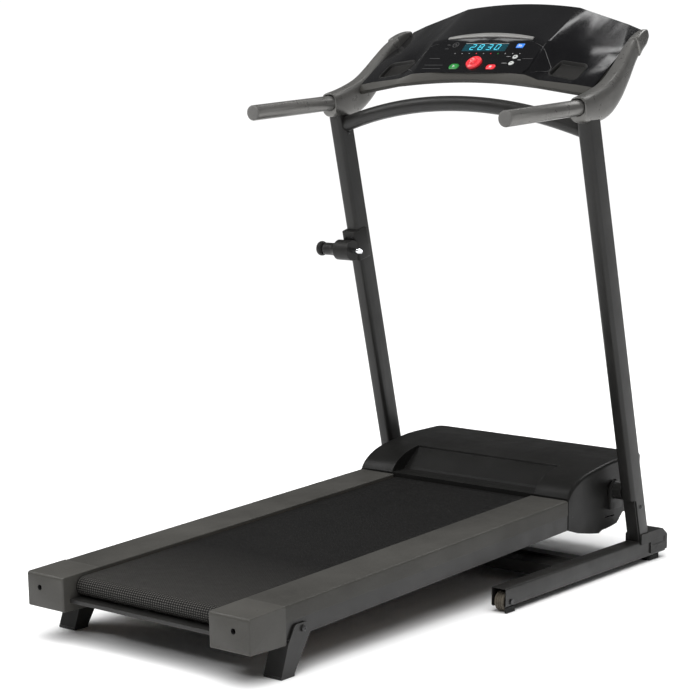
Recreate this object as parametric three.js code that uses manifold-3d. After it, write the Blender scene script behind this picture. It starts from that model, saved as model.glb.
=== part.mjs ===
// Folding home treadmill, in millimetres.
// +Y points from the runner's rear end to the console, +X to the runner's right, +Z up.
// The origin is on the floor, in the middle of the footprint box.
import * as THREE from 'three';
import { mergeVertices } from 'three/addons/utils/BufferGeometryUtils.js';
import Module from 'manifold-3d';

const wasm = await Module();
wasm.setup();

// ---------------------------------------------------------------- driving dimensions
const GAP = 0.3; // clearance kept between pieces that touch
const WALL = 2; // steel tube wall
const SHELL = 3; // moulded cover wall

const DECK = {
  incline: THREE.MathUtils.degToRad(2.1),
  rearHeight: 160, // walking side's top edge above the floor, at the rear
  halfWidth: 347,
  length: 1270, // rear end to the motor hood
  footRailInner: 229, // inner edge of each foot rail
  coverDepth: 40, // height of the plastic foot rail
  frameDepth: 80, // down to the underside of the steel rail
  steelInner: 305,
  steelOuter: 345.5,
  steelInHood: 342, // narrower outer face where the hood covers the rail
  steelStart: 14,
  steelEnd: 1545,
};
const CAP = { length: 122, outer: 348.3, rearDepth: 83.5, frontDepth: 91, inner: 229 };
const REAR_BEAM = { from: 21.5, to: 64, bottom: -64.6, top: -54.8 };
const BELT = { halfWidth: 226, top: -8, thickness: 2, rollerRadius: 20.8, rear: 63, front: 1415 };
const BOARD = { halfWidth: 335, thickness: 15.6, start: 92, end: 1364 };
const PIVOT = { y: 1494, z: 199, radius: 22, pin: 10 };
const LEG = { inner: 299, outer: 351.3, y: 179, z: 103, sheet: 3 };
const BASE = { inner: 381, outer: 424.3, bottom: 15, top: 63, rear: 871, front: 1646 };
const WHEEL = { radius: 25, width: 27, y: 895, z: 26.2, axle: 4 };
const UPRIGHT = { x: 403.8, width: 40.6, depth: 60, corner: 11, footY: 1549.9, slope: 0.2496, top: 1211 };
const RAIL_TUBE = { radius: 20.5, x: 401, rearY: 881, rearZ: 1214, frontY: 1272, rise: 0.0616 };
const BAR = { radius: 20.5, crown: 1238, arch: 1190 };
const LATCH = { y: 1276, z: 823, pin: 7, tip: -349.5, knobEnd: -500, knobLength: 20, neck: 17.5 };
const FACE = { y: 1297, z: 1322, slope: Math.atan2(83, 95), skin: 4 }; // control panel's lower edge
const PULLEY = { inner: 237, outer: 255, driven: 42, driver: 18 };
const MOTOR = { along: 1525, above: 8, radius: 45 };

const LEAN = Math.atan(UPRIGHT.slope);
const BELT_AXIS = BELT.top - BELT.thickness - BELT.rollerRadius - 0.2;

// ---------------------------------------------------------------- solids and booleans
function flipped(geometry) {
  const index = geometry.index.array;
  for (let i = 0; i < index.length; i += 3) {
    [index[i], index[i + 1]] = [index[i + 1], index[i]];
  }
  return geometry;
}

function signedVolume(geometry) {
  const position = geometry.attributes.position;
  const index = geometry.index.array;
  const [a, b, c] = [new THREE.Vector3(), new THREE.Vector3(), new THREE.Vector3()];
  let volume = 0;
  for (let i = 0; i < index.length; i += 3) {
    a.fromBufferAttribute(position, index[i]);
    b.fromBufferAttribute(position, index[i + 1]);
    c.fromBufferAttribute(position, index[i + 2]);
    volume += a.dot(b.cross(c)) / 6;
  }
  return volume;
}

// Shared vertices are merged, triangles that collapse at a pole go, and faces point out.
function closed(geometry) {
  const bare = new THREE.BufferGeometry();
  bare.setAttribute('position', geometry.attributes.position);
  bare.setIndex(geometry.index);
  const merged = mergeVertices(bare, 1e-3);
  const kept = [];
  const index = merged.index.array;
  for (let i = 0; i < index.length; i += 3) {
    const [a, b, c] = [index[i], index[i + 1], index[i + 2]];
    if (a !== b && b !== c && c !== a) kept.push(a, b, c);
  }
  merged.setIndex(kept);
  return signedVolume(merged) < 0 ? flipped(merged) : merged;
}

function toSolid(geometry) {
  const body = closed(geometry);
  return new wasm.Manifold(new wasm.Mesh({
    numProp: 3,
    vertProperties: new Float32Array(body.attributes.position.array),
    triVerts: new Uint32Array(body.index.array),
  }));
}

function toGeometry(solid) {
  const mesh = solid.getMesh();
  const geometry = new THREE.BufferGeometry();
  geometry.setAttribute('position', new THREE.BufferAttribute(mesh.vertProperties, 3));
  geometry.setIndex(new THREE.BufferAttribute(mesh.triVerts, 1));
  return geometry;
}

const combine = (step) => (first, ...others) => toGeometry(
  others.reduce((whole, other) => whole[step](toSolid(other)), toSolid(first)));
const cut = combine('subtract');
const join = combine('add');
const common = combine('intersect');

function mirrored(geometry) {
  return closed(geometry.clone().scale(-1, 1, 1));
}

// ---------------------------------------------------------------- shapes
function prism(points, holes, depth, xAxis, yAxis, zAxis) {
  const shape = new THREE.Shape(points.map(([a, b]) => new THREE.Vector2(a, b)));
  shape.holes = holes.map((hole) => new THREE.Path(hole.map(([a, b]) => new THREE.Vector2(a, b))));
  const geometry = new THREE.ExtrudeGeometry(shape, { depth, bevelEnabled: false, steps: 1 });
  const frame = new THREE.Matrix4().makeBasis(
    new THREE.Vector3(...xAxis), new THREE.Vector3(...yAxis), new THREE.Vector3(...zAxis));
  return geometry.applyMatrix4(frame);
}

// Outlines are (y, z) for prismX, (x, z) for prismY and (x, y) for prismZ.
const prismX = (points, from, to, holes = []) => prism(
  points, holes, to - from, [0, 1, 0], [0, 0, 1], [1, 0, 0]).translate(from, 0, 0);
const prismY = (points, from, to, holes = []) => prism(
  points, holes, to - from, [1, 0, 0], [0, 0, 1], [0, -1, 0]).translate(0, to, 0);
const prismZ = (points, from, to, holes = []) => prism(
  points, holes, to - from, [1, 0, 0], [0, 1, 0], [0, 0, 1]).translate(0, 0, from);

function block(x0, x1, y0, y1, z0, z1) {
  return new THREE.BoxGeometry(x1 - x0, y1 - y0, z1 - z0)
    .translate((x0 + x1) / 2, (y0 + y1) / 2, (z0 + z1) / 2);
}

function rectangle(a0, a1, b0, b1) {
  return [[a0, b0], [a1, b0], [a1, b1], [a0, b1]];
}

// Each corner of an outline becomes an arc; a radius of 0 keeps it sharp.
function rounded(points, radius, steps = 4) {
  const outline = [];
  points.forEach((point, i) => {
    const r = Array.isArray(radius) ? radius[i] : radius;
    if (!r) {
      outline.push(point);
      return;
    }
    const corner = new THREE.Vector2(...point);
    const before = new THREE.Vector2(...points.at(i - 1)).sub(corner).normalize();
    const after = new THREE.Vector2(...points[(i + 1) % points.length]).sub(corner).normalize();
    const half = Math.acos(THREE.MathUtils.clamp(before.dot(after), -1, 1)) / 2;
    const centre = before.clone().add(after).normalize().multiplyScalar(r / Math.sin(half)).add(corner);
    const start = before.multiplyScalar(r / Math.tan(half)).add(corner).sub(centre).angle();
    const end = after.multiplyScalar(r / Math.tan(half)).add(corner).sub(centre).angle();
    let turn = end - start;
    if (turn > Math.PI) turn -= 2 * Math.PI;
    if (turn < -Math.PI) turn += 2 * Math.PI;
    for (let k = 0; k <= steps; k += 1) {
      const angle = start + (turn * k) / steps;
      outline.push([centre.x + r * Math.cos(angle), centre.y + r * Math.sin(angle)]);
    }
  });
  return outline;
}

function circle(a, b, radius, steps = 24) {
  return Array.from({ length: steps }, (_, k) => {
    const angle = (2 * Math.PI * k) / steps;
    return [a + radius * Math.cos(angle), b + radius * Math.sin(angle)];
  });
}

// A counter-clockwise outline moved inwards by a distance, corners mitred.
function inset(points, distance) {
  return points.map((point, i) => {
    const here = new THREE.Vector2(...point);
    const into = here.clone().sub(new THREE.Vector2(...points.at(i - 1))).normalize();
    const out = new THREE.Vector2(...points[(i + 1) % points.length]).sub(here).normalize();
    const normal = new THREE.Vector2(-into.y - out.y, into.x + out.x).normalize();
    const scale = distance / Math.max(0.3, normal.dot(new THREE.Vector2(-into.y, into.x)));
    return [here.x + normal.x * scale, here.y + normal.y * scale];
  });
}

// A turned piece: its profile is (radius, distance along the axis).
function turned(profile, axis = 'x', segments = 20) {
  const geometry = new THREE.LatheGeometry(profile.map(([r, d]) => new THREE.Vector2(r, d)), segments);
  return axis === 'x' ? geometry.rotateZ(-Math.PI / 2) : geometry;
}

function rod(radius, from, to, y, z, segments = 16) {
  return turned([[0, from], [radius, from], [radius, to], [0, to]], 'x', segments).translate(0, y, z);
}

// A closed body through cross-sections of equal point count, each counter-clockwise in (y, z).
function loft(sections) {
  const count = sections[0].length;
  const index = [];
  for (let s = 0; s + 1 < sections.length; s += 1) {
    for (let i = 0; i < count; i += 1) {
      const [a, b] = [s * count + i, s * count + ((i + 1) % count)];
      index.push(a, b, b + count, a, b + count, a + count);
    }
  }
  const endFaces = (section) => THREE.ShapeUtils.triangulateShape(
    section.map(([, y, z]) => new THREE.Vector2(y, z)), []);
  const last = (sections.length - 1) * count;
  for (const [a, b, c] of endFaces(sections[0])) index.push(c, b, a);
  for (const [a, b, c] of endFaces(sections.at(-1))) index.push(last + a, last + b, last + c);
  const geometry = new THREE.BufferGeometry();
  geometry.setAttribute('position', new THREE.Float32BufferAttribute(sections.flat(2), 3));
  geometry.setIndex(index);
  return geometry;
}

// ---------------------------------------------------------------- the scene graph
const machine = new THREE.Group();
const deck = new THREE.Group();
deck.position.z = DECK.rearHeight;
deck.rotation.x = DECK.incline;
machine.add(deck);

const COLOURS = {
  steel: [0x2b2c2e, 0.5, 0.3],
  plastic: [0x242527, 0.55, 0],
  gloss: [0x0c0d0f, 0.15, 0],
  silver: [0x6f7174, 0.4, 0.2],
  rubber: [0x17181a, 0.85, 0],
  belt: [0x303133, 0.8, 0],
  chrome: [0xd5d8dc, 0.15, 1],
  roller: [0x8d9094, 0.35, 0.9],
  wood: [0x8a6a48, 0.7, 0],
  board: [0x1f5a35, 0.5, 0],
  wheel: [0x6c675f, 0.6, 0],
  display: [0x163848, 0.1, 0],
  red: [0xb8121f, 0.35, 0],
  green: [0x15803a, 0.4, 0],
  blue: [0x1d5fb8, 0.4, 0],
  grey: [0xb9babd, 0.45, 0],
};

function add(name, geometry, colour, group = machine) {
  const [color, roughness, metalness] = COLOURS[colour];
  const material = new THREE.MeshStandardMaterial({ color, roughness, metalness });
  const body = closed(geometry);
  body.computeVertexNormals();
  const mesh = new THREE.Mesh(body, material);
  mesh.name = name;
  group.add(mesh);
}

// The same piece for both sides: modelled on the right, mirrored for the left.
function addPair(name, geometry, colour, group = machine) {
  add(`${name}_right`, geometry, colour, group);
  add(`${name}_left`, mirrored(geometry), colour, group);
}

// ---------------------------------------------------------------- base frame
const wheelSlot = block(BASE.inner + 7, BASE.outer - 6.5, BASE.rear - 1, WHEEL.y + 32, 0, BASE.bottom + 5);
const railOutline = (inset_) => rounded(rectangle(
  BASE.inner + inset_, BASE.outer - inset_, BASE.bottom + inset_, BASE.top - inset_), 4 - inset_, 3);
const POST = { rear: 24, front: 16, top: 179 }; // about the upright's centre line
const lineY = (z) => UPRIGHT.footY - UPRIGHT.slope * z;
const postOutline = [
  [lineY(BASE.top - 1) - POST.rear, BASE.top - 1], [lineY(BASE.top - 1) + POST.front, BASE.top - 1],
  [lineY(POST.top) + POST.front, POST.top], [lineY(POST.top) - POST.rear, POST.top],
];

function baseRail() {
  const tube = prismY(railOutline(0), BASE.rear, BASE.front, [railOutline(WALL)]);
  const post = prismX(postOutline, BASE.inner + 5.6, BASE.outer - 3.2);
  const axleHole = rod(WHEEL.axle + GAP, BASE.inner - 1, BASE.outer + 1, WHEEL.y, WHEEL.z);
  return cut(join(tube, post), wheelSlot, axleHole);
}
addPair('base_rail', baseRail(), 'steel');

const CROSS = { rear: 1175, step: 1246, front: 1292, low: 54, high: 60, bottom: 20 };
const crossOutline = [
  [CROSS.rear, CROSS.bottom], [CROSS.front, CROSS.bottom], [CROSS.front, CROSS.high],
  [CROSS.step + 6, CROSS.high], [CROSS.step, CROSS.low], [CROSS.rear, CROSS.low],
];
add('base_cross_tube', prismX(crossOutline, GAP - BASE.inner, BASE.inner - GAP,
  [inset(crossOutline, WALL)]), 'steel');

const rearFoot = rounded(rectangle(BASE.outer - 6, BASE.outer, BASE.rear + 3, BASE.rear + 41), 2, 2);
const frontFoot = rounded(rectangle(BASE.inner + 5, BASE.outer - 4, 1571, 1621), 5, 3);
addPair('rear_foot', prismZ(rearFoot, 0, BASE.bottom - GAP), 'rubber');
addPair('front_foot', prismZ(frontFoot, 0, BASE.bottom - GAP), 'rubber');

function wheel() {
  const middle = (BASE.inner + BASE.outer) / 2;
  const half = WHEEL.width / 2;
  const bore = WHEEL.axle + 0.5;
  return turned([
    [bore, -half - 2], [8, -half - 2], [8, -half + 3], [17, -half + 3], [19, -half],
    [WHEEL.radius - 2, -half], [WHEEL.radius, -half + 2], [WHEEL.radius, half - 2],
    [WHEEL.radius - 2, half], [19, half], [17, half - 3], [8, half - 3], [8, half + 2],
    [bore, half + 2], [bore, -half - 2],
  ]).translate(middle, WHEEL.y, WHEEL.z);
}
addPair('transport_wheel', wheel(), 'wheel');

const axleProfile = [
  [0, BASE.inner - 4], [7, BASE.inner - 4], [7, BASE.inner - GAP], [WHEEL.axle, BASE.inner - GAP],
  [WHEEL.axle, BASE.outer + GAP], [7, BASE.outer + GAP], [7, BASE.outer + 3.7], [0, BASE.outer + 3.7],
];
addPair('wheel_axle', turned(axleProfile, 'x', 12).translate(0, WHEEL.y, WHEEL.z), 'steel');

// ---------------------------------------------------------------- uprights
// An upright's own frame: x across, y through its depth, z along the tube.
function leaned(geometry) {
  return geometry.rotateX(LEAN).translate(0, UPRIGHT.footY, 0);
}

function uprightOutline(grow) {
  const [w, d] = [UPRIGHT.width / 2 + grow, UPRIGHT.depth / 2 + grow];
  return rounded(rectangle(UPRIGHT.x - w, UPRIGHT.x + w, -d, d), UPRIGHT.corner + grow, 4);
}

const uprightRun = (grow, holes = []) => leaned(prismZ(uprightOutline(grow), 0, 1320, holes));
const ceiling = block(300, 500, 900, 1700, UPRIGHT.top, 1500);

function upright() {
  const floor = block(300, 500, 1300, 1700, -50, BASE.top + GAP);
  const openRear = leaned(block(300, 500, -60, -18, -50, 195));
  const aboveOpening = block(300, 500, 1300, 1700, POST.top + 1, 400);
  const rearCut = cut(openRear, aboveOpening);
  const pivotHole = rod(PIVOT.pin + 0.4, 370, UPRIGHT.x, PIVOT.y, PIVOT.z);
  return cut(uprightRun(0, [uprightOutline(-WALL)]), floor, ceiling, rearCut, pivotHole);
}
addPair('upright', upright(), 'steel');

// A saddle behind the upright's foot, then a deeper sleeve over the rail's front end.
const COLLAR = {
  inner: 377.5, outer: 427.8, rear: 1513, step: 1563, front: 1650, saddle: 54, sleeve: 22, top: 83,
};

function collar() {
  const { inner, outer, rear, step, front, saddle, sleeve, top } = COLLAR;
  const outline = rounded([[rear, saddle], [step, saddle], [step, sleeve], [front, sleeve],
    [front, top - 20], [front - 26, top], [rear, top]], [2, 0, 2, 3, 4, 6, 3], 3);
  const railSpace = block(BASE.inner - GAP, BASE.outer + GAP, 1400, BASE.front + GAP, 0, BASE.top + GAP);
  const hollow = block(BASE.inner, BASE.outer, step + 12, front - 32, 50, top - SHELL);
  const recess = block(outer - 1, outer + 1, step + 6, front - 15, 44, 60);
  return cut(prismX(outline, inner, outer), railSpace, uprightRun(0.4), hollow, recess);
}
addPair('front_collar', collar(), 'plastic');

// The arched bar lies in the plane of the two uprights.
function crossbar() {
  const half = UPRIGHT.x - UPRIGHT.width / 2 - GAP;
  const crown = BAR.crown / Math.cos(LEAN);
  const centre = crown - BAR.arch;
  const reach = Math.asin((half + 20) / BAR.arch);
  const path = new THREE.CatmullRomCurve3(Array.from({ length: 17 }, (_, k) => {
    const angle = -reach + (2 * reach * k) / 16;
    return new THREE.Vector3(BAR.arch * Math.sin(angle), 0, centre + BAR.arch * Math.cos(angle));
  }));
  const ring = (radius) => circle(0, 0, radius, 14).map(([a, b]) => new THREE.Vector2(a, b));
  const section = new THREE.Shape(ring(BAR.radius));
  section.holes = [new THREE.Path(ring(BAR.radius - WALL))];
  const tube = new THREE.ExtrudeGeometry(section, { steps: 16, extrudePath: path, bevelEnabled: false });
  return cut(leaned(tube), block(half, 600, 900, 1600, 900, 1400), block(-600, -half, 900, 1600, 900, 1400));
}
add('crossbar', crossbar(), 'steel');

// ---------------------------------------------------------------- handrails
const railAxisZ = (y) => RAIL_TUBE.rearZ + (y - RAIL_TUBE.rearY) * RAIL_TUBE.rise;

// A run along a handrail's own axis, measured from its rear end.
function alongHandrail(profile, segments = 18) {
  return turned(profile, 'y', segments)
    .rotateX(Math.atan(RAIL_TUBE.rise))
    .translate(RAIL_TUBE.x, RAIL_TUBE.rearY, RAIL_TUBE.rearZ);
}

const handrailLength = RAIL_TUBE.frontY - RAIL_TUBE.rearY;
const tubeProfile = (outer, inner, from, to) => [
  [inner, from], [outer, from], [outer, to], [inner, to], [inner, from]];
addPair('handrail', alongHandrail(
  tubeProfile(RAIL_TUBE.radius, RAIL_TUBE.radius - WALL, 0, handrailLength)), 'silver');
addPair('handrail_cap', alongHandrail([
  [0, -4.5], [12, -4], [17.5, -2.8], [RAIL_TUBE.radius, -0.9], [RAIL_TUBE.radius, -GAP],
  [RAIL_TUBE.radius - WALL - GAP, -GAP], [RAIL_TUBE.radius - WALL - GAP, 14], [0, 14],
]), 'grey');

// ---------------------------------------------------------------- console arms
const ARM = { inner: 378.3, outer: 428 };
const armOutline = [
  [1189, 1254], [1194, 1206], [1206, 1198], [1240, 1194], [1282, 1198], [1328, 1213], [1376, 1248],
  [1420, 1296], [1462, 1345], [1495, 1378], [1540, 1392], [1556, 1412], [1550, 1428], [1520, 1428],
  [1480, 1416], [1440, 1388], [1405, 1357], [1373, 1326], [1335, 1301], [1290, 1284], [1240, 1270],
  [1200, 1262],
];

function arm() {
  const body = prismX(armOutline, ARM.inner, ARM.outer);
  const railPocket = alongHandrail([
    [0, 250], [RAIL_TUBE.radius + GAP, 250], [RAIL_TUBE.radius + GAP, handrailLength + 1],
    [0, handrailLength + 1]]);
  const uprightPocket = cut(uprightRun(0.4), ceiling.clone().translate(0, 0, 0.5));
  const core = prismX(inset(armOutline, 5), ARM.inner - 1, ARM.outer - 4);
  const front = block(300, 500, 1290, 1600, 1100, 1500);
  const barPocket = block(300, UPRIGHT.x - UPRIGHT.width / 2 + 1, 1200, 1290, 1100, 1202);
  return cut(body, railPocket, uprightPocket, common(core, front), barPocket);
}
addPair('console_arm', arm(), 'silver');

// ---------------------------------------------------------------- console
// A point of the control panel: x across, s up its slope, out from its surface.
const onPanel = (s, out = 0) => [
  FACE.y + s * Math.cos(FACE.slope) - out * Math.sin(FACE.slope),
  FACE.z + s * Math.sin(FACE.slope) + out * Math.cos(FACE.slope),
];

// Half the console's cross-sections: lip, panel, ridge, rear slope, then round the back.
const consoleSections = [
  [0, [1296, 1292], [1289, 1301], onPanel(0), onPanel(126), [1396, 1415], [1410, 1424], [1549, 1503],
    [1558, 1494], [1540, 1430], [1470, 1345], [1390, 1300]],
  [184, [1286, 1283], [1279, 1291], onPanel(-12), onPanel(118), [1391, 1402], [1399, 1404], [1549, 1491],
    [1558, 1482], [1542, 1424], [1474, 1340], [1388, 1296]],
  [226, [1284, 1279], [1277, 1287], [1284, 1301], [1371, 1344], [1395, 1374], [1414, 1397], [1550, 1478],
    [1558.6, 1469.5], [1543, 1414], [1477, 1334], [1389, 1291]],
  [332, [1302, 1263], [1296, 1271], [1301, 1290], [1376, 1338], [1430, 1370], [1464, 1390], [1553, 1446],
    [1560, 1438], [1546, 1394], [1484, 1318], [1402, 1274]],
  [376, [1310, 1257], [1304, 1265], [1309, 1283], [1384, 1334], [1446, 1370], [1487, 1387], [1553, 1429],
    [1560, 1421], [1548, 1382], [1488, 1312], [1408, 1268]],
];
const halfConsole = consoleSections.map(([x, ...points]) => points.reverse().map(([y, z]) => [x, y, z]));
const otherHalf = halfConsole.slice(1).reverse().map((ring) => ring.map(([x, y, z]) => [-x, y, z]));
const consoleBody = loft([...otherHalf, ...halfConsole]);
const inwards = (distance) => consoleBody.clone().translate(
  0, distance * Math.sin(FACE.slope), -distance * Math.cos(FACE.slope));

// Tools and pieces on the panel are made flat, outline (x, s), thickness outwards.
function onFace(points, from, to, holes = []) {
  return prismZ(points, from, to, holes).rotateX(FACE.slope).translate(0, FACE.y, FACE.z);
}

const BUTTONS = [
  ['start_button', -60, 17, 32, 22, 'green'],
  ['stop_button', 60, 16, 30, 20, 'red'],
  ['speed_up_button', 118, 56, 16, 15, 'gloss'],
  ['speed_down_button', 118, 31, 16, 15, 'gloss'],
  ['workout_button', 112, 100, 24, 17, 'blue'],
];
const KEY = { x: 0, s: 30, radius: 23, socket: 3 };
const DISPLAY = { x0: -69, x1: 72, s0: 79, s1: 111 };
const OVERLAY = { thickness: 1.6, top: 3 };
const buttonOutline = ([, x, s, w, h], grow) => rounded(
  rectangle(x - w / 2 - grow, x + w / 2 + grow, s - h / 2 - grow, s + h / 2 + grow), 4 + grow, 3);
const buttonHoles = BUTTONS.map((button) => onFace(buttonOutline(button, 0.4), -12, 8));
const keyHole = onFace(circle(KEY.x, KEY.s, KEY.radius + 0.5, 20), -KEY.socket, 20);

const TRAY = { x0: 236, x1: 320, y0: 1316, y1: 1374, floor: 1296, wall: 2.5 };
const trayCup = block(TRAY.x0 - TRAY.wall, TRAY.x1 + TRAY.wall, TRAY.y0 - TRAY.wall, TRAY.y1 + TRAY.wall,
  TRAY.floor - TRAY.wall, 1400);
const traySpace = block(TRAY.x0, TRAY.x1, TRAY.y0, TRAY.y1, TRAY.floor, 1420);

const faceSkin = cut(consoleBody, inwards(FACE.skin));

function consoleFace() {
  const cups = [trayCup, mirrored(trayCup)].map((cup) => common(cup, consoleBody));
  const keySeat = onFace(circle(KEY.x, KEY.s, KEY.radius + 3, 20), -KEY.socket - 2, -FACE.skin + 0.5);
  return cut(join(faceSkin, ...cups, keySeat), traySpace, mirrored(traySpace), ...buttonHoles, keyHole);
}
add('console_face', consoleFace(), 'gloss');

function consoleShell() {
  const behind = common(consoleBody, inwards(FACE.skin + 2 * GAP));
  const room = cut(inwards(-SHELL), block(373, 400, 1200, 1600, 1200, 1600),
    block(-400, -373, 1200, 1600, 1200, 1600));
  const clearances = [[0, 0], [GAP, GAP], [GAP, -GAP]];
  return cut(behind, room, ...clearances.map(([y, z]) => faceSkin.clone().translate(0, y, z)));
}
add('console_shell', consoleShell(), 'plastic');

const overlayOutline = [
  [-172, -6], [172, -6], [182, 10], [182, 84], [150, 116], [-150, 116], [-182, 84], [-182, 10]];
const windowHole = rectangle(DISPLAY.x0 - 0.4, DISPLAY.x1 + 0.4, DISPLAY.s0 - 0.4, DISPLAY.s1 + 0.4);
add('control_overlay', cut(
  onFace(rounded(overlayOutline, 5, 3), GAP, GAP + OVERLAY.thickness, [windowHole]),
  ...buttonHoles, keyHole), 'gloss');
add('display_window', onFace(
  rectangle(DISPLAY.x0, DISPLAY.x1, DISPLAY.s0, DISPLAY.s1), GAP, GAP + OVERLAY.thickness), 'display');
add('console_board', onFace(rectangle(-140, 140, 8, 118), -26, -24), 'board');

for (const button of BUTTONS) {
  const cap = onFace(buttonOutline(button, 0), -7, OVERLAY.top);
  const flange = onFace(buttonOutline(button, 1.5), -8.2, -FACE.skin - 1.6);
  add(button[0], join(cap, flange), button[5]);
}

const keyProfile = [
  [0, -2.7], [KEY.radius, -2.7], [KEY.radius, 7], [KEY.radius - 2, 9], [12, 9.5], [10, 14], [0, 15]];
add('safety_key', turned(keyProfile, 'y')
  .rotateX(Math.PI / 2 + FACE.slope)
  .translate(KEY.x, ...onPanel(KEY.s)), 'red');

// ---------------------------------------------------------------- storage latch, left upright
const latchEnd = LATCH.knobEnd + LATCH.knobLength;

function latchHousing() {
  const neck = rod(LATCH.neck, latchEnd + 2, -372, LATCH.y, LATCH.z);
  const saddle = leaned(prismZ(rounded(rectangle(
    -UPRIGHT.x - 25.6, -UPRIGHT.x + 25.6, -46, 8), [5, 5, 2, 2], 3), 824, 914));
  const web = leaned(prismX(rounded([[-74, 834], [-30, 834], [-30, 905], [-50, 905]], [6, 0, 0, 8], 3),
    -UPRIGHT.x - 12, -UPRIGHT.x + 12));
  const tube = mirrored(uprightRun(0.4));
  const bore = rod(LATCH.pin + 0.4, -520, -300, LATCH.y, LATCH.z);
  return cut(join(neck, saddle, web), tube, bore);
}
add('latch_housing', latchHousing(), 'plastic');

const pinBlank = rod(LATCH.pin, LATCH.knobEnd + 6, LATCH.tip, LATCH.y, LATCH.z);
const chisel = prismY([[LATCH.tip - 9, LATCH.pin + 1], [LATCH.tip + 2, -3], [LATCH.tip + 2, LATCH.pin + 1]],
  LATCH.y - 20, LATCH.y + 20).translate(0, 0, LATCH.z);
add('latch_pin', cut(pinBlank, chisel), 'chrome');
const knob = turned([
  [0, LATCH.knobEnd], [16, LATCH.knobEnd], [20, LATCH.knobEnd + 3], [21, LATCH.knobEnd + 8],
  [20, LATCH.knobEnd + 16], [17, latchEnd], [LATCH.pin + GAP, latchEnd],
  [LATCH.pin + GAP, LATCH.knobEnd + 6 - GAP], [0, LATCH.knobEnd + 6 - GAP],
]).translate(0, LATCH.y, LATCH.z);
add('latch_knob', knob, 'plastic');

// ---------------------------------------------------------------- deck frame
const steelTop = -DECK.coverDepth - GAP;
const pivotAlong = PIVOT.y * Math.cos(DECK.incline) + (PIVOT.z - DECK.rearHeight) * Math.sin(DECK.incline);
const pivotAbove = (PIVOT.z - DECK.rearHeight) * Math.cos(DECK.incline) - PIVOT.y * Math.sin(DECK.incline);
const CATCH = { away: Math.hypot(PIVOT.y - LATCH.y, LATCH.z - PIVOT.z), above: -50, radius: 9 };
const catchAlong = pivotAlong - Math.sqrt(CATCH.away ** 2 - (pivotAbove - CATCH.above) ** 2);

function deckRail(catchHole) {
  const { steelInner, steelOuter, steelInHood, steelStart, steelEnd, length, frameDepth } = DECK;
  const outside = join(
    block(steelInner, steelOuter, steelStart, length, -frameDepth, steelTop),
    block(steelInner, steelInHood, length - 1, steelEnd, -frameDepth, steelTop));
  const hollow = (side, from, to) => block(steelInner + WALL, side - WALL, from, to,
    0.5 - frameDepth + WALL, steelTop - WALL);
  const inside = join(hollow(steelOuter, steelStart - 1, length - 2),
    hollow(steelInHood, length - 3, steelEnd + 1));
  const lug = (along) => prismX(rounded(rectangle(along - 18, along + 18, steelTop - 1, -16),
    [0, 0, 10, 10], 3), steelInner, steelInner + 4);
  const shaftHole = (along) => rod(6.4, steelInner - 5, steelInner + 9, along, BELT_AXIS);
  const earOutline = rectangle(pivotAlong - 30, pivotAlong + 30, steelTop - 1, 14);
  const ear = prismX(rounded(earOutline, [0, 0, 18, 18], 4), steelInHood - 6, steelInHood);
  const legHole = rod(5, steelInner - 1, steelOuter + 1, LEG_AT[0], LEG_AT[1]);
  const cuts = [shaftHole(BELT.rear), shaftHole(BELT.front), legHole];
  if (catchHole) cuts.push(rod(CATCH.radius, steelOuter - 5, steelOuter + 5, catchAlong, CATCH.above));
  return cut(join(cut(outside, inside), lug(BELT.rear), lug(BELT.front), ear), ...cuts);
}

// The incline leg's bolt, in the deck's own along and above measures.
const LEG_AT = [
  LEG.y * Math.cos(DECK.incline) + (LEG.z - DECK.rearHeight) * Math.sin(DECK.incline),
  (LEG.z - DECK.rearHeight) * Math.cos(DECK.incline) - LEG.y * Math.sin(DECK.incline),
];
add('deck_rail_right', deckRail(false), 'steel', deck);
add('deck_rail_left', mirrored(deckRail(true)), 'steel', deck);

function crossMember(from, to, bottom, top) {
  const outline = rectangle(from, to, bottom, top);
  const half = DECK.steelInner - GAP;
  return prismX(outline, -half, half, [inset(outline, WALL)]);
}
const { from: beamRear, to: beamFront, bottom: beamBottom, top: beamTop } = REAR_BEAM;
add('rear_crossmember', crossMember(beamRear, beamFront, beamBottom, beamTop), 'steel', deck);
add('front_crossmember', crossMember(1500, 1543, -DECK.frameDepth, steelTop), 'steel', deck);

const boardTop = BELT.top - BELT.thickness - 0.4;
add('deck_board', block(-BOARD.halfWidth, BOARD.halfWidth, BOARD.start, BOARD.end,
  boardTop - BOARD.thickness, boardTop), 'wood', deck);
addPair('deck_cushion', prismY(rounded(rectangle(310, 340, steelTop + GAP, boardTop - BOARD.thickness - GAP),
  [0, 0, 4, 4], 3), 130, 1350), 'rubber', deck);

const railTop = 3.5;
const footRailOutline = rounded([
  [344, -DECK.coverDepth], [DECK.halfWidth, -DECK.coverDepth], [DECK.halfWidth, 0],
  [DECK.footRailInner, 0], [DECK.footRailInner, boardTop + GAP],
  [DECK.footRailInner + SHELL, boardTop + GAP], [DECK.footRailInner + SHELL, -railTop], [344, -railTop],
], [0, 0, 6, 3, 0, 0, 0, 3], 4);
addPair('foot_rail', prismY(footRailOutline, CAP.length + GAP, DECK.length), 'plastic', deck);

const frameTopClear = DECK.frameDepth + 0.4;

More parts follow.
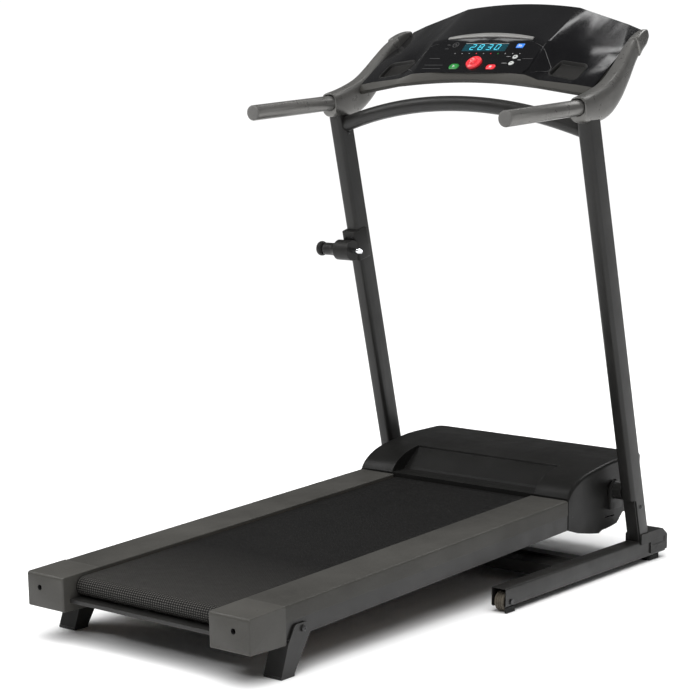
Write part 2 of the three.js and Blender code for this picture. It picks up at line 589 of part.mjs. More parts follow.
// End cap: a hollow corner box with a bowed rear face, open towards the front.
function endCap() {
  const { inner, outer, length, rearDepth, frontDepth } = CAP;
  const bow = (x, from) => from - 4 * Math.sin((Math.PI * (x - inner)) / (2 * (outer - inner))) ** 2;
  const plan = (grow) => {
    const rear = [inner + 2, inner + 30, inner + 60, inner + 90, outer - 10].map((x) => [x, bow(x, 0)]);
    const corner = [[outer - 4, -1], [outer, 5], [outer, 11]];
    const outline = [...rear, ...corner, [outer, length], [inner, length], [inner, 2]];
    return grow ? inset(outline, grow) : outline;
  };
  const sideOutline = [[-20, -rearDepth], [length + 1, -frontDepth], [length + 1, 0], [-4, 0]];
  const side = rounded(sideOutline, [0, 0, 0, 9], 5);
  const outside = common(prismZ(plan(0), -120, 20), prismX(side, 200, 400));
  const inside = common(prismZ(plan(2.5), -frameTopClear, -SHELL),
    block(200, 400, -20, length - 2, -100, 50));
  const mouth = block(inner + 2.5, outer - 2.5, length - 6, length + 2, -frameTopClear, -SHELL);
  const shaft = rod(8, inner - 5, inner + 12, BELT.rear, BELT_AXIS);
  const beamHole = block(inner - 5, inner + 12, beamRear - 2, beamFront + 2, beamBottom - 2, beamTop + 2);
  const boardSlot = block(inner - 5, inner + 12, BOARD.start - 1, length + 1,
    boardTop - BOARD.thickness - 1, boardTop + 1);
  return cut(outside, inside, mouth, shaft, beamHole, boardSlot);
}
addPair('end_cap', endCap(), 'plastic', deck);

// ---------------------------------------------------------------- belt and rollers
function racetrack(radius) {
  const half = (from, along) => Array.from({ length: 13 }, (_, k) => {
    const angle = from + (Math.PI * k) / 12;
    return [along + radius * Math.cos(angle), BELT_AXIS + radius * Math.sin(angle)];
  });
  return [...half(Math.PI / 2, BELT.rear), ...half(-Math.PI / 2, BELT.front)];
}
const beltInside = BELT.rollerRadius + 0.2;
add('walking_belt', prismX(racetrack(beltInside + BELT.thickness), -BELT.halfWidth, BELT.halfWidth,
  [racetrack(beltInside)]), 'belt', deck);

const rollerBody = BELT.halfWidth + 1.5;
const shaftEnd = DECK.steelInner + 6;
const rearRoller = turned([
  [0, -shaftEnd], [6, -shaftEnd], [6, -rollerBody], [BELT.rollerRadius, -rollerBody],
  [BELT.rollerRadius, rollerBody], [6, rollerBody], [6, shaftEnd], [0, shaftEnd]]);
const frontRoller = turned([
  [0, -shaftEnd], [6, -shaftEnd], [6, -PULLEY.outer - 1], [PULLEY.driven + 2, -PULLEY.outer - 1],
  [PULLEY.driven + 2, -PULLEY.outer], [PULLEY.driven, -PULLEY.outer], [PULLEY.driven, -PULLEY.inner],
  [PULLEY.driven + 2, -PULLEY.inner], [PULLEY.driven + 2, -PULLEY.inner + 1], [12, -PULLEY.inner + 1],
  [12, -rollerBody], [BELT.rollerRadius, -rollerBody], [BELT.rollerRadius, rollerBody], [6, rollerBody],
  [6, shaftEnd], [0, shaftEnd]]);
add('rear_roller', rearRoller.translate(0, BELT.rear, BELT_AXIS), 'roller', deck);
add('front_roller', frontRoller.translate(0, BELT.front, BELT_AXIS), 'roller', deck);

// ---------------------------------------------------------------- drive
const MOTOR_BODY = { from: -190, to: 60 };
add('motor_housing', turned([
  [7, MOTOR_BODY.from], [22, MOTOR_BODY.from], [22, MOTOR_BODY.from + 8],
  [MOTOR.radius, MOTOR_BODY.from + 12], [MOTOR.radius, MOTOR_BODY.to - 6],
  [MOTOR.radius - 5, MOTOR_BODY.to], [7, MOTOR_BODY.to], [7, MOTOR_BODY.from],
]).translate(0, MOTOR.along, MOTOR.above), 'steel', deck);
add('motor_rotor', turned([
  [0, -PULLEY.outer - 3], [PULLEY.driver + 2, -PULLEY.outer - 3], [PULLEY.driver + 2, -PULLEY.outer],
  [PULLEY.driver, -PULLEY.outer], [PULLEY.driver, -PULLEY.inner], [PULLEY.driver + 2, -PULLEY.inner],
  [PULLEY.driver + 2, -PULLEY.inner + 3], [6.5, -PULLEY.inner + 3], [6.5, MOTOR_BODY.to + 6],
  [MOTOR.radius - 2, MOTOR_BODY.to + 6], [MOTOR.radius - 2, MOTOR_BODY.to + 24], [0, MOTOR_BODY.to + 24],
]).translate(0, MOTOR.along, MOTOR.above), 'roller', deck);

// The drive belt runs straight between the two pulleys and round each of them.
function beltRun(grow) {
  const driven = new THREE.Vector2(BELT.front, BELT_AXIS);
  const driver = new THREE.Vector2(MOTOR.along, MOTOR.above);
  const heading = driver.clone().sub(driven).angle();
  const spread = Math.acos((PULLEY.driven - PULLEY.driver) / driver.distanceTo(driven));
  const arc = (centre, radius, from, to) => Array.from({ length: 15 }, (_, k) => {
    const angle = from + ((to - from) * k) / 14;
    return [centre.x + radius * Math.cos(angle), centre.y + radius * Math.sin(angle)];
  });
  return [
    ...arc(driven, PULLEY.driven + grow, heading + spread, heading + 2 * Math.PI - spread),
    ...arc(driver, PULLEY.driver + grow, heading - spread, heading + spread),
  ];
}
add('drive_belt', prismX(beltRun(2.6), GAP - PULLEY.outer, -PULLEY.inner - GAP,
  [beltRun(0.9)]), 'rubber', deck);

// ---------------------------------------------------------------- motor hood and belly pan
const hoodTop = [
  [1650, 250], [1649, 268], [1641, 279], [1600, 281], [1499, 281], [1458, 277.5], [1421, 272],
  [1388, 268], [1358, 262], [1317, 249], [1290, 232], [1272.6, 210]];
const hoodBottom = [
  [1273.5, 126], [1320, 111], [1379, 99], [1424, 92], [1429, 98], [1473, 99], [1535, 108], [1540, 131],
  [1650, 131]];
const hoodOutline = [...hoodBottom, ...hoodTop];
const HOOD = { half: 347.3, corner: 25 };

const hoodPlan = (into) => rounded(rectangle(into - HOOD.half, HOOD.half - into, 1200, 1650 - into),
  [0, 0, HOOD.corner - into, HOOD.corner - into], 5);

function hood() {
  const innerTop = hoodTop.map(([y, z]) => [Math.min(y, 1650 - SHELL), z - SHELL]);
  const innerOutline = [[1260, 60], [1650 - SHELL, 60], ...innerTop, [1260, 200]];
  const ramp = (drop, half) => {
    const outline = [[1200, 60], [1330 + drop, 60], [1330 + drop, 212], [1326 + drop, 219 - drop * 0.5],
      [1396 + drop * 0.6, 264 - drop], [1396 + drop * 0.6, 320], [1200, 320]];
    return prismX(outline, -half, half);
  };
  const outside = cut(common(prismX(hoodOutline, -HOOD.half, HOOD.half),
    prismZ(hoodPlan(0), 50, 320)), ramp(0, 236));
  const inside = cut(common(prismX(innerOutline, SHELL - HOOD.half, HOOD.half - SHELL),
    prismZ(hoodPlan(SHELL), 50, 320)), ramp(SHELL, 236 + SHELL));
  const bosses = rod(PIVOT.radius + 9, -400, 400, PIVOT.y, PIVOT.z);
  const mouth = block(SHELL - HOOD.half, HOOD.half - SHELL, 1200, 1340, 60, 209);
  return cut(outside, inside, bosses, mouth);
}
add('motor_hood', hood(), 'plastic');

const panTop = [
  [1643, 134.8], [1538, 134.8], [1531, 112.5], [1474, 104.4], [1426, 103], [1422, 98.5], [1379, 105],
  [1322, 117], [1290, 125]];
const panBottom = [
  [1290, 123.3], [1320, 114.3], [1379, 102.3], [1423, 95.6], [1428, 100.6], [1473, 101.9], [1533, 110.3],
  [1540, 132.4], [1643, 132.4]];
add('belly_pan', common(prismX([...panBottom, ...panTop], -HOOD.half, HOOD.half),
  prismZ(hoodPlan(SHELL + 1), 50, 320)), 'plastic');
add('motor_controller', prismX(rounded(rectangle(1582, 1632, 137, 178), 4, 2), 40, 200), 'board');

// ---------------------------------------------------------------- pivot brackets and legs
function pivotBracket() {
  const faceX = UPRIGHT.x - UPRIGHT.width / 2;
  const hub = turned([
    [0, DECK.steelInHood + GAP], [PIVOT.radius, DECK.steelInHood + GAP], [PIVOT.radius, faceX - 0.8],
    [PIVOT.pin, faceX - 0.8], [PIVOT.pin, faceX + 8], [0, faceX + 8]])
    .translate(0, PIVOT.y, PIVOT.z);
  const ear = prismX([
    [PIVOT.y - 26, 150], [PIVOT.y + 30, 150],
    ...Array.from({ length: 13 }, (_, k) => {
      const angle = (Math.PI * k) / 12;
      return [PIVOT.y + 2 + 28 * Math.cos(angle), PIVOT.z + 28 * Math.sin(angle)];
    })], HOOD.half + 1.2, HOOD.half + 9);
  return join(hub, ear);
}
addPair('pivot_bracket', pivotBracket(), 'steel');

function inclineLeg() {
  const side = rounded([[104, 5], [148, 5], [205, 92], [199, 116], [152, 117], [128, 76]],
    [2, 2, 8, 12, 14, 20], 4);
  const { inner, outer, sheet } = LEG;
  const web = [[104, 5], [107.5, 5], [131, 74], [136, 83], [131, 83], [128, 76]];
  const plates = join(
    prismX(side, outer - sheet, outer), prismX(side, inner, inner + sheet),
    prismX(web, inner + 1, outer - 1), block(inner, outer, 103.5, 149, 0, 6));
  const bolt = turned([
    [0, inner - 5], [8, inner - 5], [8, inner + 0.5], [4.5, inner + 0.5], [4.5, outer - 0.5],
    [8, outer - 0.5], [8, outer + 4], [0, outer + 4]], 'x', 12).translate(0, LEG.y, LEG.z);
  return join(plates, bolt);
}
addPair('incline_leg', inclineLeg(), 'steel');

// ---------------------------------------------------------------- origin under the middle
machine.updateMatrixWorld(true);
const footprint = new THREE.Box3().setFromObject(machine, true);
const middle = footprint.getCenter(new THREE.Vector3());
machine.position.set(-middle.x, -middle.y, 0);

export default machine;
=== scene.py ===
import math

import bmesh
import bpy
from mathutils import Matrix, Vector
from mathutils.bvhtree import BVHTree


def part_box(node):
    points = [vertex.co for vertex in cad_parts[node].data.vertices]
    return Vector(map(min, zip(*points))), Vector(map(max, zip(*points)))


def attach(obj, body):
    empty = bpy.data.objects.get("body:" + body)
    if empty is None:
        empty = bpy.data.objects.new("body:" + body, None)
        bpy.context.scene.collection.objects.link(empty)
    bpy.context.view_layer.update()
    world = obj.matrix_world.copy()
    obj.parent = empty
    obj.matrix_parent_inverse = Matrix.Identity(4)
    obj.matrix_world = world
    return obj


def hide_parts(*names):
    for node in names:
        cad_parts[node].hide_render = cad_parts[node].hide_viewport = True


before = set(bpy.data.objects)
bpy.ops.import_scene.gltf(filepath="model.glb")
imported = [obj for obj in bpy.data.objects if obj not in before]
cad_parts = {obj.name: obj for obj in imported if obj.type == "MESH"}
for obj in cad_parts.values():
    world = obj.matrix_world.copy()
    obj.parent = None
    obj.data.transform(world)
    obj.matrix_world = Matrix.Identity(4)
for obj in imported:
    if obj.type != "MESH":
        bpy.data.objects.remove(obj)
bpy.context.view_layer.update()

MM = 0.001
TURN = 2 * math.pi

# ---------------------------------------------------------------- the machine's own frames
# Lengths below are millimetres from the middle of the deck's rear end, +X right, +Y forward, +Z up.
belt_low, belt_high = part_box("walking_belt")
BASE_REAR = 871.0  # from the deck's rear end to the base rails' rear ends
SHIFT = Vector(((belt_low.x + belt_high.x) / 2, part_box("base_rail_right")[0].y - BASE_REAR * MM, 0.0))


def local(node):
    """A CAD node's lowest and highest corners, in the machine's millimetres."""
    low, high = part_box(node)
    return (low - SHIFT) / MM, (high - SHIFT) / MM


def frame_at(x, y, z, turn=0.0):
    return Matrix.Translation(Vector((x, y, z)) * MM + SHIFT) @ Matrix.Rotation(turn, 4, "X")


PANEL_TILT = math.atan2(83, 95)
PANEL_Y, PANEL_Z = 1297, 1322  # the control panel's lower edge
LEAN = math.atan(0.2496)  # of the uprights
UPRIGHT_X = 403.8
HANDRAIL_X, HANDRAIL_Y, HANDRAIL_Z, HANDRAIL_SLOPE = 401.0, 881, 1214, 0.0616
MACHINE = frame_at(0, 0, 0)
DECK = frame_at(0, 0, 160, math.radians(2.1))
PANEL = frame_at(0, PANEL_Y, PANEL_Z, PANEL_TILT)
LEANED = frame_at(0, 1549.9, 0, LEAN)
HANDRAIL = frame_at(0, HANDRAIL_Y, HANDRAIL_Z, math.atan(HANDRAIL_SLOPE))
SIDES = (("right", 1), ("left", -1))


def both_sides(build):
    for side_name, side in SIDES:
        build(side_name, side)


# ---------------------------------------------------------------- camera, lights and floor
AZIMUTH, ELEVATION, DISTANCE = math.radians(38.55), math.radians(8.07), 6.01435
TARGET = Vector((-0.42345, 0.54046, 0.52522))


def towards(azimuth, elevation):
    level = math.cos(elevation)
    return Vector((math.sin(azimuth) * level, -math.cos(azimuth) * level, math.sin(elevation)))


def linked(name, data):
    made = bpy.data.objects.new(name, data)
    bpy.context.scene.collection.objects.link(made)
    return made


camera = linked("camera", bpy.data.cameras.new("camera"))
camera.data.lens = 107.62
camera.data.clip_end = 60
camera.location = TARGET + towards(AZIMUTH, ELEVATION) * DISTANCE
camera.rotation_euler = (TARGET - camera.location).to_track_quat("-Z", "Y").to_euler()
bpy.context.scene.camera = camera
bpy.context.scene.view_settings.view_transform = "Standard"


def area_light(name, place, aim, size, power, mirrored=True):
    """A softbox; one that isn't mirrored lights surfaces without showing in the glossy ones."""
    light = linked(name, bpy.data.lights.new(name, "AREA"))
    light.visible_glossy = mirrored
    light.data.shape = "RECTANGLE"
    light.data.size, light.data.size_y = size
    light.data.energy = power
    light.location = place
    light.rotation_euler = (Vector(aim) - Vector(place)).to_track_quat("-Z", "Y").to_euler()


area_light("wing_softbox", (-0.51, 1.9, 4.2), (-0.51, 1.9, 0), (0.24, 1.4), 4.4)
area_light("left_rim_softbox", (-2.75, -0.95, 4.2), (0, 0, 0.6), (1.3, 2.3), 40)
area_light("far_rim_softbox", (0.6, 4.4, 4.2), (0.2, 0.3, 1.0), (2.4, 1.4), 48)
area_light("overhead_softbox", (0.1, 0.3, 4.2), (0.1, 0.3, 0), (2.4, 3.6), 50, mirrored=False)
area_light("left_softbox", (-3.8, -1.6, 2.4), (0, 0.3, 0.7), (0.7, 2.6), 26)
area_light("right_softbox", (3.8, 1.6, 2.0), (0, 0.4, 0.6), (0.6, 2.2), 8)
area_light("rear_softbox", (0.6, -4.4, 3.4), (0, 0, 0.3), (2.0, 0.5), 34)


def sky_panel():
    """A very soft light from above that keeps the floor white as far as the eye reaches."""
    light = linked("sky_panel", bpy.data.lights.new("sky_panel", "SUN"))
    light.data.energy = 3.7
    light.data.angle = math.radians(75)
    light.rotation_euler = (math.radians(11), math.radians(5), 0)
    light.visible_glossy = False


sky_panel()


def white_world():
    """White to the camera, and a faint fill for everything else."""
    world = bpy.data.worlds.new("studio")
    world.use_nodes = True
    nodes, links = world.node_tree.nodes, world.node_tree.links
    fill, seen = nodes["Background"], nodes.new("ShaderNodeBackground")
    for background, strength in ((fill, 0.10), (seen, 1.05)):
        background.inputs["Color"].default_value = (1, 1, 1, 1)
        background.inputs["Strength"].default_value = strength
    mix = nodes.new("ShaderNodeMixShader")
    links.new(nodes.new("ShaderNodeLightPath").outputs["Is Camera Ray"], mix.inputs[0])
    links.new(fill.outputs[0], mix.inputs[1])
    links.new(seen.outputs[0], mix.inputs[2])
    links.new(mix.outputs[0], nodes["World Output"].inputs["Surface"])
    bpy.context.scene.world = world


white_world()


# ---------------------------------------------------------------- materials
class Surface:
    """A material built up from noise at several scales, all in the object's own coordinates."""

    def __init__(self, name, rough, metal=0.0, specular=0.5, coat=0.0, coat_rough=0.1):
        self.material = bpy.data.materials.new(name)
        self.material.use_nodes = True
        self.nodes = self.material.node_tree.nodes
        self.shader = self.nodes["Principled BSDF"]
        self.shader.inputs["Roughness"].default_value = rough
        self.shader.inputs["Metallic"].default_value = metal
        self.shader.inputs["Specular IOR Level"].default_value = specular
        self.shader.inputs["Coat Weight"].default_value = coat
        self.shader.inputs["Coat Roughness"].default_value = coat_rough
        self.place = self.add("ShaderNodeTexCoord").outputs["Object"]

    def add(self, kind, **settings):
        node = self.nodes.new(kind)
        for key, value in settings.items():
            setattr(node, key, value)
        return node

    def link(self, output, target):
        self.material.node_tree.links.new(output, target)

    def maths(self, operation, *values):
        """A maths node on sockets and plain numbers."""
        node = self.add("ShaderNodeMath", operation=operation)
        for k, value in enumerate(values):
            if isinstance(value, float):
                node.inputs[k].default_value = value
            else:
                self.link(value, node.inputs[k])
        return node.outputs[0]

    def split(self, vector):
        parts = self.add("ShaderNodeSeparateXYZ")
        self.link(vector, parts.inputs[0])
        return parts.outputs

    def noise(self, scale, detail=4.0, rough=0.6, stretch=(1, 1, 1)):
        mapping = self.add("ShaderNodeMapping")
        mapping.inputs["Scale"].default_value = stretch
        self.link(self.place, mapping.inputs["Vector"])
        noise = self.add("ShaderNodeTexNoise")
        noise.inputs["Scale"].default_value = scale
        noise.inputs["Detail"].default_value = detail
        noise.inputs["Roughness"].default_value = rough
        self.link(mapping.outputs[0], noise.inputs["Vector"])
        return noise.outputs["Fac"]

    def spread(self, value, low, high, source=(0.3, 0.7)):
        ranged = self.add("ShaderNodeMapRange")
        for key, number in zip(("From Min", "From Max", "To Min", "To Max"), (*source, low, high)):
            ranged.inputs[key].default_value = number
        self.link(value, ranged.inputs["Value"])
        return ranged.outputs["Result"]

    def blend(self, share, first, second):
        mix = self.add("ShaderNodeMix", data_type="RGBA")
        self.link(share, mix.inputs["Factor"])
        for socket, colour in ((mix.inputs["A"], first), (mix.inputs["B"], second)):
            if isinstance(colour, tuple):
                socket.default_value = (*colour, 1)
            else:
                self.link(colour, socket)
        return mix.outputs["Result"]

    def edges(self, width):
        """0 on flat faces, rising to 1 along edges; it masks the painted edge highlights."""
        bevel = self.add("ShaderNodeBevel", samples=4)
        bevel.inputs["Radius"].default_value = width * MM
        facing = self.add("ShaderNodeNewGeometry").outputs["Normal"]
        dot = self.add("ShaderNodeVectorMath", operation="DOT_PRODUCT")
        self.link(bevel.outputs[0], dot.inputs[0])
        self.link(facing, dot.inputs[1])
        return self.spread(dot.outputs["Value"], 1.0, 0.0, (0.85, 0.995))

    def colour(self, output):
        self.link(output, self.shader.inputs["Base Color"])

    def roughness(self, output):
        self.link(output, self.shader.inputs["Roughness"])

    def relief(self, *layers):
        """Each layer is (height, depth in millimetres)."""
        normal = None
        for height, depth in layers:
            bump = self.add("ShaderNodeBump")
            bump.inputs["Strength"].default_value = 1.0
            bump.inputs["Distance"].default_value = depth * MM
            self.link(height, bump.inputs["Height"])
            if normal:
                self.link(normal, bump.inputs["Normal"])
            normal = bump.outputs["Normal"]
        self.link(normal, self.shader.inputs["Normal"])


def moulded(name, dark, pale, rough, grain=900, depth=0.05, specular=0.5, worn=(0.09, 0.09, 0.088)):
    """Moulded plastic or powder-coated steel: cloudy tone, fine grain and painted highlights along the edges.
    """
    s = Surface(name, rough, specular=specular)
    clouds = s.noise(5, 5)
    specks = s.noise(grain / 3, 2)
    tone = s.blend(s.spread(clouds, 0, 1), dark, pale)
    mottled = s.blend(s.spread(specks, 0, 0.35, (0.4, 0.7)), tone, pale)
    # Painted highlight: edges are lightened towards the highlight colour, in patches set by noise.
    highlight_breakup = s.noise(60, 6, 0.7)
    painted_highlight_share = s.maths("MULTIPLY", s.edges(1.2), s.spread(highlight_breakup, 0, 0.75, (0.35, 0.65)))
    s.colour(s.blend(painted_highlight_share, mottled, worn))
    s.roughness(s.spread(s.noise(14, 6), rough - 0.07, rough + 0.09))
    s.relief((s.noise(grain, 2), depth), (s.noise(grain / 4, 3), depth * 0.7))
    return s.material


def glossy(name, dark, pale, rough):
    s = Surface(name, rough, specular=0.35, coat=0.25, coat_rough=0.12)
    s.colour(s.blend(s.spread(s.noise(4), 0, 1), dark, pale))
    s.roughness(s.spread(s.noise(26, 8, 0.7), rough - 0.04, rough + 0.08))
    s.relief((s.noise(9, 2), 0.12), (s.noise(700, 2), 0.008))
    return s.material


def metallic(name, dark, pale, rough, metal, stretch=(1, 1, 1)):
    s = Surface(name, rough, metal=metal, specular=0.5)
    s.colour(s.blend(s.spread(s.noise(7), 0, 1), dark, pale))
    s.roughness(s.spread(s.noise(40, 6, 0.7, stretch), rough - 0.06, rough + 0.08))
    s.relief((s.noise(500, 2, 0.5, stretch), 0.015))
    return s.material


def rubber(name, dark, pale):
    s = Surface(name, 0.8, specular=0.3)
    s.colour(s.blend(s.spread(s.noise(90, 6, 0.7), 0, 1), dark, pale))
    s.roughness(s.spread(s.noise(40, 4), 0.7, 0.95))
    s.relief((s.noise(450, 3), 0.12))
    return s.material


def button(name, dark, pale):
    s = Surface(name, 0.3, specular=0.5, coat=0.4, coat_rough=0.08)
    # Painted glow: a faint emission in the pale colour makes these caps and dots shine with no lamp inside.
    s.shader.inputs["Emission Strength"].default_value = 0.12
    s.shader.inputs["Emission Color"].default_value = (*pale, 1)
    s.colour(s.blend(s.spread(s.noise(90, 4), 0, 1), dark, pale))
    s.roughness(s.spread(s.noise(160, 4), 0.22, 0.4))
    s.relief((s.noise(600, 2), 0.01))
    return s.material


def glowing(name, colour, strength):
    s = Surface(name, 0.4)
    s.shader.inputs["Emission Strength"].default_value = strength
    s.shader.inputs["Emission Color"].default_value = (*colour, 1)
    s.colour(s.blend(s.spread(s.noise(300), 0, 1), colour, tuple(0.8 * c for c in colour)))
    return s.material


BEAD_PITCH = 7.0
BEAD_RAKE = 0.62  # how much closer the rows stand along the belt than the beads stand across it
PAINTED_HIGHLIGHT_LENGTH = 0.4  # metres of belt, from the rear, whose bead tops are painted paler as a highlight


def belt_weave():
    """Rows of raised beads across the belt, each row set half a pitch along from the last."""
    s = Surface("belt_weave", 0.5, specular=0.1)
    lengthwise = s.split(s.place)["Y"]
    s.place = s.add("ShaderNodeUVMap", uv_map="weave").outputs["UV"]
    weave = s.split(s.place)

    def wave(across, along):
        shift = s.maths("MULTIPLY", weave["Y"], along * TURN / (BEAD_PITCH * MM))
        return s.maths("SINE", s.maths("MULTIPLY_ADD", weave["X"], across * TURN / (BEAD_PITCH * MM), shift))

    beads = s.spread(s.maths("MULTIPLY", wave(0.5, BEAD_RAKE), wave(0.5, -BEAD_RAKE)), 0, 1, (-1, 1))
    fibres = s.noise(1500, 3, 0.7)
    base = s.blend(s.spread(fibres, 0, 1), (0.003, 0.003, 0.003), (0.007, 0.007, 0.007))
    # Painted highlight: bead tops are lightened near the rear end of the deck; the shift is fixed to the
    # deck, not to the running belt.
    painted_highlight_share = s.spread(lengthwise, 1.0, 0.14, (belt_low.y, belt_low.y + PAINTED_HIGHLIGHT_LENGTH))
    worn = s.blend(painted_highlight_share, (0.004, 0.004, 0.004), (0.085, 0.082, 0.076))
    tops = s.blend(s.spread(beads, 0, 1, (0.5, 0.8)), base, worn)
    s.colour(s.blend(s.spread(s.noise(9, 5), 0, 0.1), tops, (0.020, 0.019, 0.018)))
    s.roughness(s.spread(s.noise(30, 5), 0.42, 0.6))
    s.relief((beads, 1.4), (fibres, 0.1))
    return s.material


def grained_wood():
    s = Surface("pressed_board", 0.65)
    grain = s.spread(s.noise(60, 6, 0.6, (8, 1, 8)), 0, 1)
    s.colour(s.blend(grain, (0.20, 0.11, 0.05), (0.34, 0.21, 0.11)))
    s.roughness(s.spread(s.noise(40), 0.55, 0.8))
    s.relief((s.noise(300, 3), 0.1))
    return s.material


POWDER = moulded("powder_coat", (0.0105, 0.0103, 0.0098), (0.018, 0.0176, 0.0168), 0.36, 1100, 0.05, 0.32)
PLASTIC = moulded("grained_plastic", (0.009, 0.0088, 0.0084), (0.016, 0.0156, 0.0148), 0.42, 800, 0.07, 0.24)
HOOD_SKIN = moulded("hood_grain", (0.0055, 0.0054, 0.0051), (0.010, 0.0098, 0.0093), 0.38, 900, 0.05, 0.22)
RAIL_TOP = moulded("foot_rail_grain", (0.034, 0.033, 0.030), (0.054, 0.0525, 0.048), 0.42, 620, 0.11, 0.14)
CAP_SKIN = moulded("end_cap_grain", (0.042, 0.0408, 0.037), (0.064, 0.062, 0.0565), 0.34, 700, 0.08, 0.2)
GLOSS = glossy("gloss_panel", (0.0035, 0.0035, 0.004), (0.0065, 0.0065, 0.007), 0.13)
SILVER = metallic("satin_graphite_paint", (0.125, 0.123, 0.117), (0.175, 0.172, 0.164), 0.3, 0.6)
# Pale satin paint that paints the highlight along the ledge's rounded edge and the display's top edge.
LEDGE_HIGHLIGHT = metallic("painted_ledge_highlight", (0.20, 0.198, 0.19), (0.27, 0.267, 0.26), 0.4, 0.4)
CHROME = metallic("chrome", (0.70, 0.71, 0.73), (0.82, 0.83, 0.85), 0.14, 1.0)
BOLT = metallic("black_zinc", (0.035, 0.035, 0.036), (0.07, 0.07, 0.072), 0.34, 0.8)
ROLLER = metallic("turned_steel", (0.42, 0.43, 0.44), (0.58, 0.59, 0.6), 0.3, 1.0, (1, 60, 60))
RUBBER = rubber("black_rubber", (0.008, 0.008, 0.008), (0.02, 0.02, 0.02))
WHEEL = rubber("wheel_nylon", (0.055, 0.048, 0.038), (0.11, 0.096, 0.075))
CAP_GREY = moulded("grey_end_plug", (0.085, 0.083, 0.079), (0.125, 0.123, 0.118), 0.5, 500, 0.12,
                   worn=(0.3, 0.3, 0.29))
RED = button("red_button", (0.50, 0.012, 0.02), (0.72, 0.03, 0.04))
GREEN = button("green_button", (0.010, 0.12, 0.022), (0.018, 0.19, 0.035))
BLUE = button("blue_button", (0.02, 0.12, 0.52), (0.04, 0.22, 0.72))
PALE_BUTTON = button("pale_button", (0.32, 0.33, 0.32), (0.45, 0.46, 0.45))
PRINT = moulded("printed_mark", (0.22, 0.22, 0.22), (0.30, 0.30, 0.30), 0.5, 400, 0.01, worn=(0.3, 0.3, 0.3))
FAINT = moulded("faint_mark", (0.055, 0.055, 0.055), (0.075, 0.075, 0.075), 0.5, 400, 0.01,
                worn=(0.08, 0.08, 0.08))
DIGITS = glowing("cyan_digits", (0.05, 0.42, 0.55), 0.62)
WINDOW = glossy("display_glass", (0.004, 0.030, 0.040), (0.006, 0.042, 0.055), 0.12)
WOOD = grained_wood()
CIRCUIT = moulded("circuit_board", (0.01, 0.08, 0.03), (0.02, 0.13, 0.05), 0.45, 500, 0.05)
WEAVE = belt_weave()


# ---------------------------------------------------------------- mesh building
def outlined(points, radius, steps=6):
    """A flat outline (a, b) with each corner turned into an arc; radius is one number or one per corner."""
    made = []
    for i, point in enumerate(points):
        r = radius[i] if isinstance(radius, (list, tuple)) else radius
        here = Vector(point)
        before = (Vector(points[i - 1]) - here).normalized()
        after = (Vector(points[(i + 1) % len(points)]) - here).normalized()
        if not r:
            made.append((here.x, here.y))
            continue
        half = math.acos(max(-1.0, min(1.0, before.dot(after)))) / 2
        centre = here + (before + after).normalized() * (r / math.sin(half))
        start = here + before * (r / math.tan(half)) - centre
        end = here + after * (r / math.tan(half)) - centre
        turn = start.angle_signed(end)
        first = math.atan2(start.y, start.x)
        for k in range(steps + 1):
            angle = first - turn * k / steps
            made.append((centre.x + r * math.cos(angle), centre.y + r * math.sin(angle)))
    return made


def rectangle(a0, a1, b0, b1):
    return [(a0, b0), (a1, b0), (a1, b1), (a0, b1)]


def around(steps):
    """The cosine and sine of angles evenly spaced round a full turn."""
    return [(math.cos(TURN * k / steps), math.sin(TURN * k / steps)) for k in range(steps)]


def disc(a, b, radius, steps):
    return [(a + radius * c, b + radius * s) for c, s in around(steps)]


def prism(points, low, high, axis="z"):
    """An outline pushed along an axis: (y, z) along x, (x, y) along z."""
    count = len(points)
    verts = [(c, a, b) if axis == "x" else (a, b, c) for c in (low, high) for a, b in points]
    sides = [(i, (i + 1) % count, count + (i + 1) % count, count + i) for i in range(count)]
    return verts, [tuple(range(count)), tuple(range(count, 2 * count)), *sides]


def loft(rings, capped=True):
    """A skin over rings that all have the same number of points."""
    count = len(rings[0])
    verts = [point for ring in rings for point in ring]
    faces = []
    for r in range(len(rings) - 1):
        for i in range(count):
            j = (i + 1) % count
            faces.append((r * count + i, r * count + j, (r + 1) * count + j, (r + 1) * count + i))
    if capped:
        faces += [tuple(range(count)), tuple(range((len(rings) - 1) * count, len(rings) * count))]
    return verts, faces


def lathe(profile, axis, centre, steps=48):
    """A piece turned round x or y; its profile is (radius, distance along) and ends on the axis or closes."""
    axes = {"x": ((0, 1, 0), (0, 0, 1), (1, 0, 0)), "y": ((0, 0, 1), (1, 0, 0), (0, 1, 0))}
    u, v, w = (Vector(a) for a in axes[axis])
    middle = Vector(centre)
    return loft([[middle + w * d + (u * c + v * s) * r for c, s in around(steps)] for r, d in profile],
                capped=False)


def merged(*shapes):
    verts, faces = [], []
    for shape_verts, shape_faces in shapes:
        start = len(verts)
        verts += list(shape_verts)
        faces += [tuple(start + i for i in face) for face in shape_faces]
    return verts, faces


def sided(shape, side):
    """A right-hand shape, or its mirror image for the left."""
    return shape if side > 0 else ([(-v[0], v[1], v[2]) for v in shape[0]], shape[1])


def solid(name, shape, place=MACHINE, round_=0.0, segments=3, smooth=38):
    """A mesh object from (vertices in millimetres, faces), its sharp edges rounded over."""
    mesh = bpy.data.meshes.new(name)
    mesh.from_pydata([place @ (Vector(v) * MM) for v in shape[0]], [], shape[1])
    tidy = bmesh.new()
    tidy.from_mesh(mesh)
    bmesh.ops.remove_doubles(tidy, verts=tidy.verts, dist=2e-6)
    bmesh.ops.dissolve_degenerate(tidy, edges=tidy.edges, dist=1e-6)
    bmesh.ops.recalc_face_normals(tidy, faces=tidy.faces)
    if round_:
        round_over(tidy, round_, 30, segments)
    tidy.to_mesh(mesh)
    tidy.free()
    made = linked(name, mesh)
    shade(mesh, smooth)
    return made


